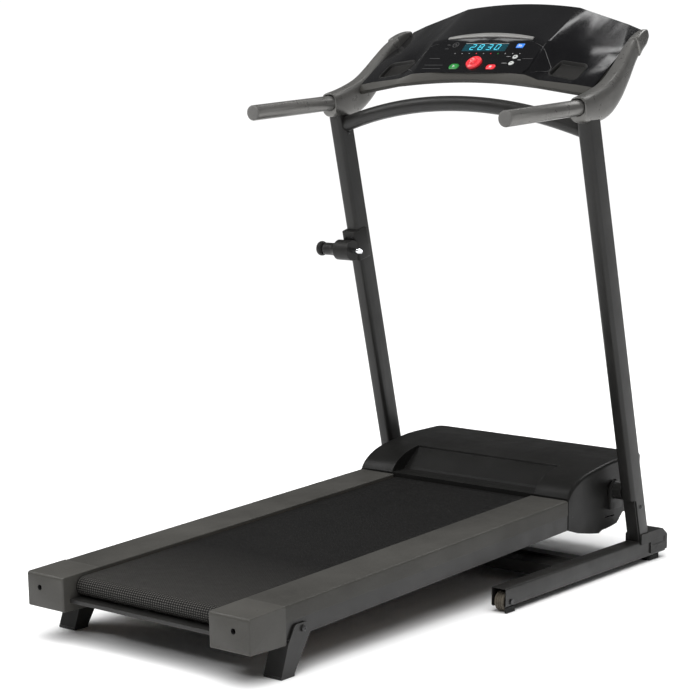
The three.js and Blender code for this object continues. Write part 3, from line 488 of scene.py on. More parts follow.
def round_over(tidy, width, angle, segments):
    limit = math.radians(angle)
    sharp = [e for e in tidy.edges if len(e.link_faces) == 2 and e.calc_face_angle(0.0) > limit]
    bmesh.ops.bevel(tidy, geom=sharp, offset=width * MM, offset_type="OFFSET", segments=segments,
                    profile=0.5, affect="EDGES", clamp_overlap=True)


def shade(mesh, angle):
    mesh.shade_smooth()
    mesh.set_sharp_from_angle(angle=math.radians(angle))


def carved(target, *cutters, round_=0.0, smooth=38):
    """Cuts each cutter out of the target and discards it, then rounds the edges over."""
    for cutter in cutters:
        cut = target.modifiers.new("cut", "BOOLEAN")
        cut.operation = "DIFFERENCE"
        cut.solver = "EXACT"
        cut.object = cutter
    evaluated = target.evaluated_get(bpy.context.evaluated_depsgraph_get())
    mesh = bpy.data.meshes.new_from_object(evaluated)
    target.modifiers.clear()
    target.data = mesh
    for cutter in cutters:
        bpy.data.objects.remove(cutter)
    tidy = bmesh.new()
    tidy.from_mesh(mesh)
    bmesh.ops.remove_doubles(tidy, verts=tidy.verts, dist=5e-6)
    bmesh.ops.dissolve_limit(tidy, angle_limit=math.radians(0.3), verts=tidy.verts, edges=tidy.edges)
    if round_:
        round_over(tidy, round_, 26, 3)
    tidy.to_mesh(mesh)
    tidy.free()
    shade(mesh, smooth)
    return target


def dress(made, body, material, slot=None, *nodes):
    """Gives a piece its finish and its body, and hides the CAD nodes that it stands for."""
    made.data.materials.clear()
    made.data.materials.append(material)
    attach(made, body)
    if nodes:
        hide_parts(*nodes)
    return made


def piece(name, shape, body, material, slot=None, *nodes, place=MACHINE, smooth=38):
    return dress(solid(name, shape, place, smooth=smooth), body, material, slot, *nodes)


# ---------------------------------------------------------------- CAD nodes that keep their shape
def finish_node(name, material, round_):
    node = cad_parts[name]
    node.data.materials.clear()
    node.data.materials.append(material)
    node.data.shade_smooth()
    if "custom_normal" in node.data.attributes:
        node.data.attributes.remove(node.data.attributes["custom_normal"])
    weld = node.modifiers.new("weld", "WELD")
    weld.merge_threshold = 2e-6
    bevel = node.modifiers.new("edge_round", "BEVEL")
    bevel.width = round_ * MM
    bevel.segments = 2
    bevel.limit_method = "ANGLE"
    bevel.angle_limit = math.radians(32)
    bevel.harden_normals = True


# Each node's finish and the width, in millimetres, that its edges are rounded by.
KEPT_PAIRS = {
    "base_rail": (POWDER, 1.2), "upright": (POWDER, 0.8), "front_foot": (RUBBER, 1.0),
    "rear_foot": (RUBBER, 1.0), "wheel_axle": (BOLT, 0.6), "front_collar": (PLASTIC, 1.5),
    "deck_rail": (POWDER, 1.0),
    "deck_cushion": (RUBBER, 1.0), "foot_rail": (RAIL_TOP, 1.0), "pivot_bracket": (POWDER, 1.0),
    "incline_leg": (POWDER, 0.7)}
KEPT_SINGLE = {
    "base_cross_tube": (POWDER, 1.0), "rear_crossmember": (POWDER, 1.0), "front_crossmember": (POWDER, 1.0),
    "deck_board": (WOOD, 0.8), "rear_roller": (ROLLER, 0.8), "front_roller": (ROLLER, 0.6),
    "motor_housing": (POWDER, 1.0), "motor_rotor": (ROLLER, 0.6), "drive_belt": (RUBBER, 0.4),
    "motor_controller": (CIRCUIT, 0.8), "console_board": (CIRCUIT, 0.3), "belly_pan": (PLASTIC, 0.6),
    "latch_pin": (CHROME, 0.8), "control_overlay": (GLOSS, 0.4), "display_window": (WINDOW, 0.3)}
for stem, look in KEPT_PAIRS.items():
    for side_name, _ in SIDES:
        finish_node(f"{stem}_{side_name}", *look)
for name, look in KEPT_SINGLE.items():
    finish_node(name, *look)


# ---------------------------------------------------------------- walking belt
def walking_belt():
    low, high = local("walking_belt")
    half, thickness, radius = (high.x - low.x) / 2, 2.0, 23.0
    axis, rear, front = -31.0, 63.0, 1415.0
    turns = 28
    path = []
    for start, along in ((math.pi / 2, rear), (-math.pi / 2, front)):
        for k in range(turns + 1):
            angle = start + math.pi * k / turns
            path.append((along, math.cos(angle), math.sin(angle)))
    columns = [-half, -half + 0.7, *(-half + 2 * half * k / 12 for k in range(1, 12)), half - 0.7, half]
    rim = [0.7, *([0.0] * (len(columns) - 2)), 0.7]
    verts, faces, lengths = [], [], []
    travelled, last = 0.0, None
    for along, c, s in [*path, path[0]]:
        outer = Vector((along + radius * c, axis + radius * s))
        travelled += (outer - last).length if last else 0.0
        last = outer
        lengths.append(travelled)
    for along, c, s in path:
        for x, drop in zip(columns, rim):
            verts.append((x, along + (radius - drop) * c, axis + (radius - drop) * s))
        for x in (half, -half):
            verts.append((x, along + (radius - thickness) * c, axis + (radius - thickness) * s))
    row = len(columns) + 2
    count = len(path)
    for r in range(count):
        for i in range(row):
            j = (i + 1) % row
            n = (r + 1) % count
            faces.append((r * row + i, r * row + j, n * row + j, n * row + i))
    made = bpy.data.meshes.new("walking_belt_loop")
    made.from_pydata([DECK @ (Vector(v) * MM) for v in verts], [], faces)
    layer = made.uv_layers.new(name="weave")
    for polygon in made.polygons:
        rows = [made.loops[i].vertex_index // row for i in polygon.loop_indices]
        closing = max(rows) - min(rows) > 1
        for i in polygon.loop_indices:
            index = made.loops[i].vertex_index
            r = index // row
            travel = lengths[count] if closing and r == 0 else lengths[r]
            layer.data[i].uv = (verts[index][0] * MM, travel * MM)
    tidy = bmesh.new()
    tidy.from_mesh(made)
    bmesh.ops.recalc_face_normals(tidy, faces=tidy.faces)
    tidy.to_mesh(made)
    tidy.free()
    shade(made, 50)
    dress(linked("walking_belt_loop", made), "deck", WEAVE, "belt_fabric", "walking_belt")


walking_belt()


# ---------------------------------------------------------------- deck end caps
CAP = {"inner": 229.0, "outer": 348.3, "low": -83.5, "long": 122.0, "bulge": 3.7, "fall": 7.5}
CAP_ROUND = {"top": 9.0, "outer": 3.2, "inner": 4.5, "low": 4.0}  # how far each edge rolls over at the rear


def rolled(radius, depth):
    """How far a rounded edge has drawn in at some depth from the face it rolls on to."""
    return radius - math.sqrt(max(0.0, radius ** 2 - (radius - depth) ** 2)) if depth < radius else 0.0


def cap_ring(depth, scale=1.0):
    """The cap's outline at some depth from its rear face, which swells a little in the middle."""
    edge = {name: rolled(radius, depth) for name, radius in CAP_ROUND.items()}
    x0, x1 = CAP["inner"] + edge["inner"], CAP["outer"] - edge["outer"]
    z0, z1 = CAP["low"] - CAP["fall"] * max(0.0, depth) / CAP["long"] + edge["low"], -edge["top"]
    outline = outlined(rectangle(x0, x1, z0, z1), 2.4, 6)
    finer = []
    for k, (a, b) in enumerate(outline):
        c, d = outline[(k + 1) % len(outline)]
        finer.append((a, b))
        if math.hypot(c - a, d - b) > 20:
            finer += [(a + (c - a) * n / 12, b + (d - b) * n / 12) for n in range(1, 12)]
    mx, mz = (x0 + x1) / 2, (z0 + z1) / 2
    hx, hz = (x1 - x0) / 2, (z1 - z0) / 2
    ring = []
    for a, b in finer:
        a, b = (a - mx) * scale, (b - mz) * scale
        bulge = CAP["bulge"] * (1 - (a / hx) ** 2) * (1 - (b / hz) ** 2)
        ring.append((mx + a, depth - bulge, mz + b))
    return ring


def end_cap(side_name, side):
    rings = [cap_ring(0.0, scale) for scale in (0.04, 0.2, 0.4, 0.6, 0.78, 0.9, 0.97)]
    depths = (0, 0.15, 0.5, 1, 1.6, 2.4, 3.2, 4.2, 5.5, 7, 9, 14, 40, 80, 120.8, CAP["long"])
    shape = loft([*rings, *(cap_ring(depth) for depth in depths)])
    made = solid(f"end_cap_shell_{side_name}", sided(shape, side), DECK, smooth=50)
    screw = (side * 304.0, 0, -33.0)
    hole = solid("cutter", lathe([(0, -12), (7.0, -12), (7.0, 12), (0, 12)], "y", screw, 32), DECK)
    dress(carved(made, hole, smooth=50), "deck", CAP_SKIN, "graphite_plastic", f"end_cap_{side_name}")
    # Painted shade: a near-black liner lines the screw hole and darkens the recess.
    hole_shade = [(6.95, -2.6), (6.95, 11.5), (0, 11.5), (0, 11), (6.3, 10.6), (6.3, -2.2), (6.95, -2.6)]
    head = [(0, 10.5), (5.6, 10.5), (5.6, 8.2), (4.6, 7.2), (2.4, 6.9), (2.0, 9), (0, 9)]
    piece(f"end_cap_screw_hole_shade_{side_name}", lathe(hole_shade, "y", screw, 32), "deck", RUBBER, place=DECK)
    piece(f"end_cap_screw_{side_name}", lathe(head, "y", screw, 24), "deck", BOLT, place=DECK)


both_sides(end_cap)


# ---------------------------------------------------------------- motor hood
def spline(points, at):
    """A smooth value through (position, value) pairs, flat beyond the ends."""
    if at <= points[0][0]:
        return points[0][1]
    if at >= points[-1][0]:
        return points[-1][1]
    i = max(k for k in range(len(points) - 1) if points[k][0] <= at)
    (x0, y0), (x1, y1) = points[i], points[i + 1]
    run = x1 - x0

    def tangent(k):
        if k == 0 or k == len(points) - 1:
            a, b = (0, 1) if k == 0 else (-2, -1)
            return (points[b][1] - points[a][1]) / (points[b][0] - points[a][0])
        return (points[k + 1][1] - points[k - 1][1]) / (points[k + 1][0] - points[k - 1][0])

    t = (at - x0) / run
    return ((2 * t ** 3 - 3 * t ** 2 + 1) * y0 + (t ** 3 - 2 * t ** 2 + t) * run * tangent(i)
            + (3 * t ** 2 - 2 * t ** 3) * y1 + (t ** 3 - t ** 2) * run * tangent(i + 1))


HOOD = {"half": 347.3, "front": 1650.0, "rear": 1272.8, "corner": 25.0, "fillet": 9.0, "recess": 236.0}
HOOD_TOP = [(1272.8, 211), (1281, 223), (1290, 232), (1302, 240.5), (1317, 248.5), (1336, 256), (1358, 262),
            (1388, 267.5), (1421, 272), (1458, 277), (1499, 280.5), (1560, 281), (1650, 281)]
HOOD_BOTTOM = [(1272.8, 126), (1320, 111), (1379, 99), (1424, 92), (1429, 98), (1473, 99), (1535, 108),
               (1540, 131), (1650, 131)]
RAMP = [(1272.8, 211), (1327, 211), (1331, 213.5), (1335, 217.5), (1340, 221), (1396, 263.5)]
WALL = 3.0


def straight(points, at):
    """A value read along straight lines between (position, value) pairs."""
    for (x0, y0), (x1, y1) in zip(points, points[1:]):
        if x0 <= at <= x1:
            return y0 + (y1 - y0) * (at - x0) / (x1 - x0)
    return points[-1][1]


def hood_edge(x, y):
    """How far inside the hood's rounded plan a point lies."""
    c = HOOD["corner"]
    from_side = HOOD["half"] - abs(x)
    from_front = HOOD["front"] - y
    if from_side < c and from_front < c:
        return c - math.hypot(c - from_side, c - from_front)
    return min(from_side, from_front)


def hood_height(x, y):
    height = spline(HOOD_TOP, y)
    inside = hood_edge(x, y)
    r = HOOD["fillet"]
    if inside < r:
        height -= r - math.sqrt(max(0.0, r * r - (r - inside) ** 2))
    if y < RAMP[-1][0] and abs(x) <= HOOD["recess"]:
        height = min(height, straight(RAMP, y))
    return height


def motor_hood():
    half, front, rear, fillet, corner = (HOOD[key] for key in ("half", "front", "rear", "fillet", "corner"))
    near = [front - fillet * (1 - math.cos(math.pi / 2 * k / 6)) for k in range(6, -1, -1)]
    turned = [front - corner * (1 - math.sin(math.pi / 2 * k / 9)) for k in range(0, 9)]
    rows = sorted({round(y, 3) for y in [
        *(rear + d for d in (0, 2, 5, 9, 14, 20, 28, 36, 45)), 1324, 1327, 1329, 1331, 1333, 1335, 1338, 1342,
        1350, 1362, 1374, 1386, 1392, 1395.4, 1396.2, 1400, 1410, 1424, 1440, 1460, 1485, 1515, 1545, 1575,
        1600, *turned, *near]})
    beside = [half - fillet * (1 - math.cos(math.pi / 2 * k / 6)) for k in range(7)]
    beside += [330, 310, 285, 262, 246, 239, 237.2, 236, 233, 226, 205, 170, 120, 60, 0]
    columns = sorted([-x for x in beside if x] + beside)
    verts, faces = [], []
    for y in rows:
        from_front = front - y
        reach = half
        if from_front < corner:
            reach -= corner - math.sqrt(max(0.0, corner * corner - (corner - from_front) ** 2))
        for x in columns:
            px = x * reach / half
            verts.append((px, y, hood_height(px, y)))
    wide, last = len(columns), len(rows) - 1
    for j in range(last):
        for a in range(j * wide, j * wide + wide - 1):
            faces.append((a, a + 1, a + 1 + wide, a + wide))
    rim = [*(j * wide for j in range(last + 1)), *(last * wide + i for i in range(1, wide)),
           *(j * wide + wide - 1 for j in range(last - 1, -1, -1)), *range(wide - 2, 0, -1)]
    top = [verts[index] for index in rim]
    foot = [(x, y, straight(HOOD_BOTTOM, y)) for x, y, _ in top]
    tucked = [(x * (1 - WALL / half), min(max(y, rear + WALL), front - WALL)) for x, y, _ in top]
    lower = [(x, y, z) for (x, y), (_, _, z) in zip(tucked, foot)]
    inner = [(x, y, z - 16) for (x, y), (_, _, z) in zip(tucked, top)]
    loops = [rim]
    for ring in (foot, lower, inner):
        loops.append(range(len(verts), len(verts) + len(rim)))
        verts += ring
    for above, below in zip(loops, loops[1:]):
        for k in range(len(rim)):
            n = (k + 1) % len(rim)
            faces.append((above[k], above[n], below[n], below[k]))
    faces.append(tuple(loops[-1]))
    made = solid("motor_hood_shell", (verts, faces), smooth=33)
    cutters = [solid("cutter", lathe([(0, x), (31, x), (31, x + 56), (0, x + 56)], "x", (0, 1494, 199)))
               for x in (-400, 344)]
    cutters += [solid("cutter", prism(rectangle(1455, 1500, 128, 131.5), side * 343, side * 352, "x"))
                for side in (-1, 1)]
    dress(carved(made, *cutters, smooth=33), "deck", HOOD_SKIN, "graphite_plastic", "motor_hood")


motor_hood()


# ---------------------------------------------------------------- crossbar and handrails
TUBE_RADIUS = 20.5


def crossbar():
    arch, crown, stations = 1190.0, 1238.0 / math.cos(LEAN), 56
    reach = math.asin(386 / arch)
    across = Vector((0, 1, 0))
    rings = []
    for k in range(stations + 1):
        angle = -reach + 2 * reach * k / stations
        out = Vector((math.sin(angle), 0, math.cos(angle)))
        middle = out * arch + Vector((0, 0, crown - arch))
        rings.append([middle + (out * c + across * s) * TUBE_RADIUS for c, s in around(32)])
    piece("crossbar_tube", loft(rings), "frame", POWDER, "powder_steel", "crossbar", place=LEANED)


crossbar()


def handrail(side_name, side):
    length = local(f"handrail_{side_name}")[1].y - HANDRAIL_Y
    tube = [(18.5, 0.6), (19.0, 0), (20.0, 0), (TUBE_RADIUS, 0.7), (TUBE_RADIUS, length), (18.5, length),
            (18.5, 0.6)]
    plug = [(0, -4.0), (6, -4.0), (12, -3.9), (16.2, -3.5), (18.6, -2.6), (19.9, -1.3), (20.1, -0.4),
            (18.2, -0.3), (18.2, 13), (0, 13)]
    for part, profile, material, slot, node in (
            ("tube", tube, SILVER, "silver_paint", "handrail"),
            ("plug", plug, CAP_GREY, "cap_grey", "handrail_cap")):
        shape = lathe(profile, "y", (side * HANDRAIL_X, 0, 0), 64)
        piece(f"handrail_{part}_{side_name}", shape, "frame", material, slot, f"{node}_{side_name}",
              place=HANDRAIL)


both_sides(handrail)

# ---------------------------------------------------------------- console arms
# Stations from the handrail sleeve to the console's top corner: outer face, upper and lower edge, squareness.
ARM_INNER = 378.5
ARM_STEP, ARM_FINE = 8, 5  # the station where the arm meets the console's corner, rings per station
MOUTH_Y = 1200.5
ARM_STATIONS = [
    (427.0, (1197, 1260), (1204, 1198), 3.0), (427.6, (1202, 1262), (1211, 1195.5), 3.0),
    (427.8, (1240, 1270.5), (1242, 1193), 3.2), (427.8, (1290, 1285), (1286, 1198), 3.6),
    (427.2, (1335, 1303), (1330, 1214), 4.0), (425.0, (1375, 1329), (1378, 1250), 4.2),
    (419.5, (1412, 1360), (1424, 1297), 4.2), (411.5, (1450, 1392), (1466, 1341), 4.2),
    (403.5, (1488, 1415), (1506, 1374), 4.2), (396.5, (1522, 1427), (1538, 1392), 4.2),
    (391.0, (1547, 1430), (1556, 1410), 4.2), (390.0, (1550, 1427), (1556, 1414), 4.0)]


def squircle(t, width, height, power):
    """A point at angle t on an oval that is squarer the higher its power."""
    c, s = math.cos(t), math.sin(t)
    return (math.copysign(abs(c) ** (2 / power), c) * width, math.copysign(abs(s) ** (2 / power), s) * height)


def smooth_stations(stations, steps):
    """Stations interpolated smoothly, as flat tuples of numbers."""
    flat = [(outer, *upper, *lower, power) for outer, upper, lower, power in stations]
    columns = [[(k, row[c]) for k, row in enumerate(flat)] for c in range(len(flat[0]))]
    total = (len(flat) - 1) * steps
    return [[spline(column, k / steps) for column in columns] for k in range(total + 1)]


def console_arm(side_name, side):
    count = 48
    rings = []
    for outer, uy, uz, ly, lz, power in smooth_stations(ARM_STATIONS, ARM_FINE):
        upper, lower = Vector((uy, uz)), Vector((ly, lz))
        middle, up = (upper + lower) / 2, (upper - lower) / 2
        width = (outer - ARM_INNER) / 2
        ring = []
        for k in range(count):
            a, b = squircle(TURN * k / count, width, 1.0, power)
            ring.append((ARM_INNER + width + a, middle.x + up.x * b, middle.y + up.y * b))
        rings.append(ring)
    axis = Vector((HANDRAIL_X, MOUTH_Y, HANDRAIL_Z + (MOUTH_Y - HANDRAIL_Y) * HANDRAIL_SLOPE))
    mouth = [[axis + Vector((radius * c, depth, radius * s)) for c, s in around(count)]
             for radius, depth in ((20.9, 16.0), (21.2, 2.0), (22.2, 0.3))]
    centre = Vector((403.0, MOUTH_Y, 1229.0))
    lip = [centre + (Vector(p) - centre) * 0.93 + Vector((0, -0.9, 0)) for p in rings[0]]
    step = ARM_STEP * ARM_FINE
    lower = [*mouth, lip, *rings[:step], *closing(rings[step - 1], Vector((0, 4, 3)))]
    piece(f"console_arm_shell_{side_name}", sided(loft(lower), side), "frame", SILVER, "silver_paint",
          f"console_arm_{side_name}", smooth=50)
    upper = []
    for ring in rings[step - 2:]:
        middle = sum((Vector(p) for p in ring), Vector()) / count
        upper.append([middle + (Vector(p) - middle) * 1.07 + Vector((3.4, 0, 1.2)) for p in ring])
    first = closing(upper[0], Vector((0, -3, -2)))
    shape = loft([*reversed(first), *upper, *closing(upper[-1], Vector((0, 2.0, 0.4)))])
    piece(f"console_corner_{side_name}", sided(shape, side), "frame", SILVER, "silver_paint", smooth=50)


def closing(ring, along):
    """Rings that carry on from an end ring and draw in to a softly rounded end."""
    middle = sum((Vector(p) for p in ring), Vector()) / len(ring)
    return [[middle + (Vector(p) - middle) * scale + along * share for p in ring]
            for scale, share in ((0.97, 0.35), (0.88, 0.7), (0.7, 0.92), (0.3, 1.0))]


both_sides(console_arm)

# ---------------------------------------------------------------- console
def on_panel(s):
    """The machine's (y, z) at a distance up the control panel from its lower edge."""
    return PANEL_Y + s * math.cos(PANEL_TILT), PANEL_Z + s * math.sin(PANEL_TILT)


# The console's outline at each x: lip foot, lip edge, panel foot, panel top, ridge, slope foot, top edge,
# then the back's upper edge and three more points down the back and along the underside.
SECTIONS = [
    (0, [(1296, 1292), (1289, 1301), on_panel(0), on_panel(126), (1396, 1415), (1410, 1424), (1549, 1503),
         (1558, 1494), (1540, 1430), (1470, 1345), (1390, 1300)]),
    (184, [(1286, 1283), (1279, 1291), on_panel(-12), on_panel(118), (1391, 1402), (1399, 1404), (1549, 1491),
           (1558, 1482), (1542, 1424), (1474, 1340), (1388, 1296)]),
    (226, [(1284, 1279), (1277, 1287), (1284, 1301), (1371, 1344), (1395, 1374), (1414, 1397), (1550, 1478),
           (1558.6, 1469.5), (1543, 1414), (1477, 1334), (1389, 1291)]),
    (332, [(1302, 1263), (1296, 1271), (1301, 1290), (1376, 1338), (1430, 1370), (1464, 1390), (1553, 1446),
           (1560, 1438), (1546, 1394), (1484, 1318), (1402, 1274)]),
    (377.5, [(1310, 1257), (1304, 1265), (1309, 1283), (1384, 1334), (1446, 1370), (1487, 1387), (1553, 1429),
             (1560, 1421), (1548, 1382), (1488, 1312), (1408, 1268)])]
CREASE = 184.0


def section_at(x):
    """The console's outline at x: an arch between the creases, a smooth sweep beyond them."""
    x = abs(x)
    if x <= CREASE:
        share = (x / CREASE) ** 2
        return [Vector(a).lerp(Vector(b), share) for a, b in zip(SECTIONS[0][1], SECTIONS[1][1])]
    outer = SECTIONS[1:]
    return [Vector([straight([(place, points[i][axis]) for place, points in outer], x) for axis in (0, 1)])
            for i in range(len(outer[0][1]))]


HALF_STATIONS = (*range(0, 184, 8), 184, 190, 198, 208, 217, 226, 234, 244, 256, 270, 285, 300, 316, 332, 346,
                 360, 372, 377.5)
STATIONS = sorted({side * x for x in HALF_STATIONS for _, side in SIDES})
INWARD = Vector((math.sin(PANEL_TILT), -math.cos(PANEL_TILT)))


def console_ring(x, picked, sunk=0.0):
    """Some of the outline's points, sunk below the panel by some millimetres."""
    points = section_at(x)
    return [(x, *(points[i] + INWARD * sunk)) for i in picked]


TRAY = (236, 320, 1316, 1374)
TRAY_CORNER = 12


def tray_outline(grow, steps=7):
    """The tray's mouth, larger all round by some millimetres."""
    left, right, near, far = TRAY
    return outlined(rectangle(left - grow, right + grow, near - grow, far + grow), TRAY_CORNER + grow, steps)


def tray_cutters(grow, low):
    return [solid("cutter", sided(prism(tray_outline(grow, 5), low, 1420), side)) for _, side in SIDES]


def console_skins():
    front, behind = (2, 3, 4, 5, 6, 7), (7, 8, 9, 10, 0, 1, 2)
    cover = solid("console_cover", loft([console_ring(x, front) + console_ring(x, reversed(front), 4.0)
                                         for x in STATIONS]), smooth=45)
    shell = solid("console_back_shell", loft([console_ring(x, behind) + console_ring(x, (3, 4, 5, 6), 4.6)
                                              for x in STATIONS]), smooth=45)
    overlay_seat = solid("cutter", prism(outlined(rectangle(-70.4, 73.4, 77.6, 112.4), 2), -6, 4), PANEL)
    carved(cover, overlay_seat, *tray_cutters(0.5, 1290), round_=1.5, smooth=45)
    carved(shell, *tray_cutters(1.6, 1292), round_=1.8, smooth=45)
    dress(cover, "frame", GLOSS, "black_gloss", "console_face")
    dress(shell, "frame", CAP_SKIN, "graphite_plastic", "console_shell")
    return cover


console_cover = console_skins()


def surface_finder(made):
    """A function that gives the point of a piece's upper surface over (x, y), or None beside it."""
    tidy = bmesh.new()
    tidy.from_mesh(made.data)
    tree = BVHTree.FromBMesh(tidy)
    tidy.free()

    def height(x, y, lift=0.0):
        start = SHIFT + Vector((x, y, 1700)) * MM
        hit, normal, _, _ = tree.ray_cast(start, Vector((0, 0, -1)))
        if hit is None:
            return None
        return (hit + normal * lift * MM - SHIFT) / MM
    return height


on_cover = surface_finder(console_cover)


def tray_liner(side_name, side):
    """A cup with a rolled rim that follows the cover round its mouth."""
    heights = [on_cover(side * x, y).z for x, y in tray_outline(4.6)]
    rim = [[(side * x, y, z + lift) for (x, y), z in zip(tray_outline(grow), heights)]
           for grow, lift in ((4.6, -0.3), (4.2, 1.2), (2.9, 2.1), (1.2, 1.9), (0.1, 0.6))]
    walls = [[(side * x, y, z or p[2] - 4) for (x, y), p in zip(tray_outline(grow), rim[-1])]
             for grow, z in ((-0.6, None), (-1.2, 1304), (-2.5, 1299.5), (-6, 1297.2), (-12, 1296.6))]
    skirt = [(side * x, y, p[2] - 8) for (x, y), p in zip(tray_outline(0.2), rim[0])]
    foot = [(side * x, y, 1294.4) for x, y in tray_outline(-1)]
    rings = [*rim, *walls]
    count = len(foot)
    verts, faces = loft(rings, capped=False)
    faces.append(tuple(range((len(rings) - 1) * count, len(rings) * count)))
    start = len(verts)
    verts += [*skirt, *foot]
    outside = [range(first, first + count) for first in (0, start, start + count)]
    for above, below in zip(outside, outside[1:]):
        for k in range(count):
            n = (k + 1) % count
            faces.append((above[k], above[n], below[n], below[k]))
    faces.append(tuple(outside[-1]))
    piece(f"tray_liner_{side_name}", (verts, faces), "frame", PLASTIC, "graphite_plastic", smooth=60)


both_sides(tray_liner)


def ribbon(name, points, radius, material, flat):
    """A thin bead along a line, its ends drawn to a point."""
    rings = []
    count = len(points)
    for k, point in enumerate(points):
        here = Vector(point)
        ahead = (Vector(points[min(k + 1, count - 1)]) - Vector(points[max(k - 1, 0)])).normalized()
        across = ahead.cross(Vector((0, 0, 1))).normalized()
        up = across.cross(ahead).normalized()
        size = radius * min(1.0, 0.15 + 4 * min(k, count - 1 - k) / count)
        rings.append([here + across * size * c + up * size * flat * s for c, s in around(10)])
    return piece(name, loft(rings), "frame", material, smooth=60)


RIDGE_HALF, RIDGE_TILT = 138, 0.62


def console_trim():
    slope, rise = math.cos(RIDGE_TILT), math.sin(RIDGE_TILT)
    steps, sides = 40, 20
    rings = []
    for k in range(steps + 1):
        x = -RIDGE_HALF + 2 * RIDGE_HALF * k / steps
        points = section_at(x)
        middle = points[4].lerp(points[5], 0.35)
        y, z = middle.x - 1.5, middle.y - 0.6
        size = math.sin(math.pi * (0.06 + 0.88 * k / steps)) ** 0.35
        oval = [squircle(TURN * n / sides, 8.5 * size, 4.2 * size, 2.6) for n in range(sides)]
        rings.append([(x, y + a * slope - b * rise, z + a * rise + b * slope) for a, b in oval])
    # A raised bead on the ledge; its pale paint is a painted highlight along the rounded edge.
    piece("console_ridge", loft(rings), "frame", LEDGE_HIGHLIGHT, "silver_paint", smooth=60)
    corners = [(136, 122), (196, 92), (226, 66), (230, 48), (218, 30), (190, -2)]
    for side_name, side in SIDES:
        points = []
        for (x0, s0), (x1, s1) in zip(corners, corners[1:]):
            for k in range(8):
                x, s = x0 + (x1 - x0) * k / 8, s0 + (s1 - s0) * k / 8
                spot = on_cover(side * x, on_panel(s)[0], 0.25)
                if spot:
                    points.append(spot)
        ribbon(f"overlay_outline_{side_name}", points, 0.9, FAINT, 0.5)


console_trim()


# ---------------------------------------------------------------- marks, digits and buttons on the panel
OVERLAY_TOP = 1.9


def mark(name, shapes, material, body="frame", low=OVERLAY_TOP - 0.1, high=OVERLAY_TOP + 0.18):
    raised = merged(*(prism(shape, low, high) for shape in shapes))
    return piece(name, raised, body, material, place=PANEL, smooth=30)


def stroke(x0, s0, x1, s1, wide):
    start, end = Vector((x0, s0)), Vector((x1, s1))
    along = (end - start).normalized()
    out = Vector((-along.y, along.x)) * wide / 2
    return [tuple(start - out), tuple(end - out), tuple(end + out), tuple(start + out)]


def strokes(*rows):
    return [stroke(*row) for row in rows]


def ring_mark(x, s, radius, wide, steps=28):
    """A ring as short strokes, since an outline here has no hole."""
    spots = disc(x, s, radius, steps)
    return [stroke(*spots[k], *spots[(k + 1) % steps], wide) for k in range(steps)]


def display_digits():
    """Seven-segment digits; a segment runs from one (across, up) corner of its digit to another."""
    shapes = []
    tall, wide, slant, bar, foot = 20.0, 12.5, 0.16, 2.3, 85
    segments = {"a": (0, 1, 1, 1), "b": (1, 1, 1, 0.5), "c": (1, 0.5, 1, 0), "d": (1, 0, 0, 0),
                "e": (0, 0, 0, 0.5), "f": (0, 0.5, 0, 1), "g": (0, 0.5, 1, 0.5)}
    lit = {"0": "abcdef", "2": "abged", "3": "abgcd", "8": "abcdefg"}
    for place, digit in zip((-46, -20, 8, 34), "2830"):
        for key in lit[digit]:
            u0, v0, u1, v1 = segments[key]
            p0 = Vector((place + u0 * wide + v0 * tall * slant, foot + v0 * tall))
            p1 = Vector((place + u1 * wide + v1 * tall * slant, foot + v1 * tall))
            trim = (p1 - p0).normalized() * 0.8
            shapes.append(stroke(*(p0 + trim), *(p1 - trim), bar))
    mark("display_digits", shapes, DIGITS)
    # Painted highlight: a pale line along the display's top edge only.
    mark("display_bezel_highlight", [stroke(-68, 109.4, 71, 109.4, 2.2)], LEDGE_HIGHLIGHT, high=OVERLAY_TOP + 0.3)


def dots(picked, radius):
    """Dots at some places of the row of ten under the display."""
    return [disc(-84 + 23.4 * k, 69, radius, 12) for k in picked]


display_digits()
mark("panel_lines", strokes(
    (-158, 49, -124, 49, 0.9), (144, 49, 178, 49, 0.9), (-160, 22, -100, 22, 0.8), (-160, 8, -100, 8, 0.8),
    (-128, 104, -118, 104, 1.4), (-128, 88, -116, 88, 1.0)), FAINT)
mark("heart_rate_icon", ring_mark(-100, 104, 9, 1.2) + strokes(
    (-106, 104, -102, 104, 1.1), (-102, 104, -100, 109, 1.1), (-100, 109, -98, 99, 1.1),
    (-98, 99, -94, 104, 1.1)), FAINT)
mark("programme_dots", dots((0, 1, 2, 4, 7, 8, 9), 1.5), PRINT)
mark("programme_dots_red", dots((3, 5), 1.7), RED)
mark("programme_dots_green", dots((6,), 1.7), GREEN)
mark("button_captions", strokes(
    (88, 31, 104, 31, 1.2), (90, 57, 103, 57, 1.0), (132, 44, 142, 44, 1.6)), PRINT)


def domed(points, centre, top, foot):
    """A cap whose outline draws in and rises to a soft dome."""
    cx, cs = centre
    return loft([[(cx + (x - cx) * scale, cs + (s - cs) * scale, height) for x, s in points]
                 for scale, height in ((1.0, foot), (1.0, top - 1.6), (0.985, top - 0.9), (0.93, top - 0.3),
                                       (0.80, top), (0.45, top + 0.25), (0.12, top + 0.3))])


def panel_button(body, x, s, w, h, corner, material, slot):
    """A domed cap with a thin flange under the panel."""
    def outline(grow, radius, steps):
        corners = rectangle(x - w / 2 - grow, x + w / 2 + grow, s - h / 2 - grow, s + h / 2 + grow)
        return outlined(corners, radius, steps)

    shape = merged(domed(outline(0, corner, 8), (x, s), 3.0, -7), prism(outline(1.4, corner, 4), -8.2, -6.4))
    piece(f"{body}_cap", shape, body, material, slot, f"{body}_button", place=PANEL, smooth=40)


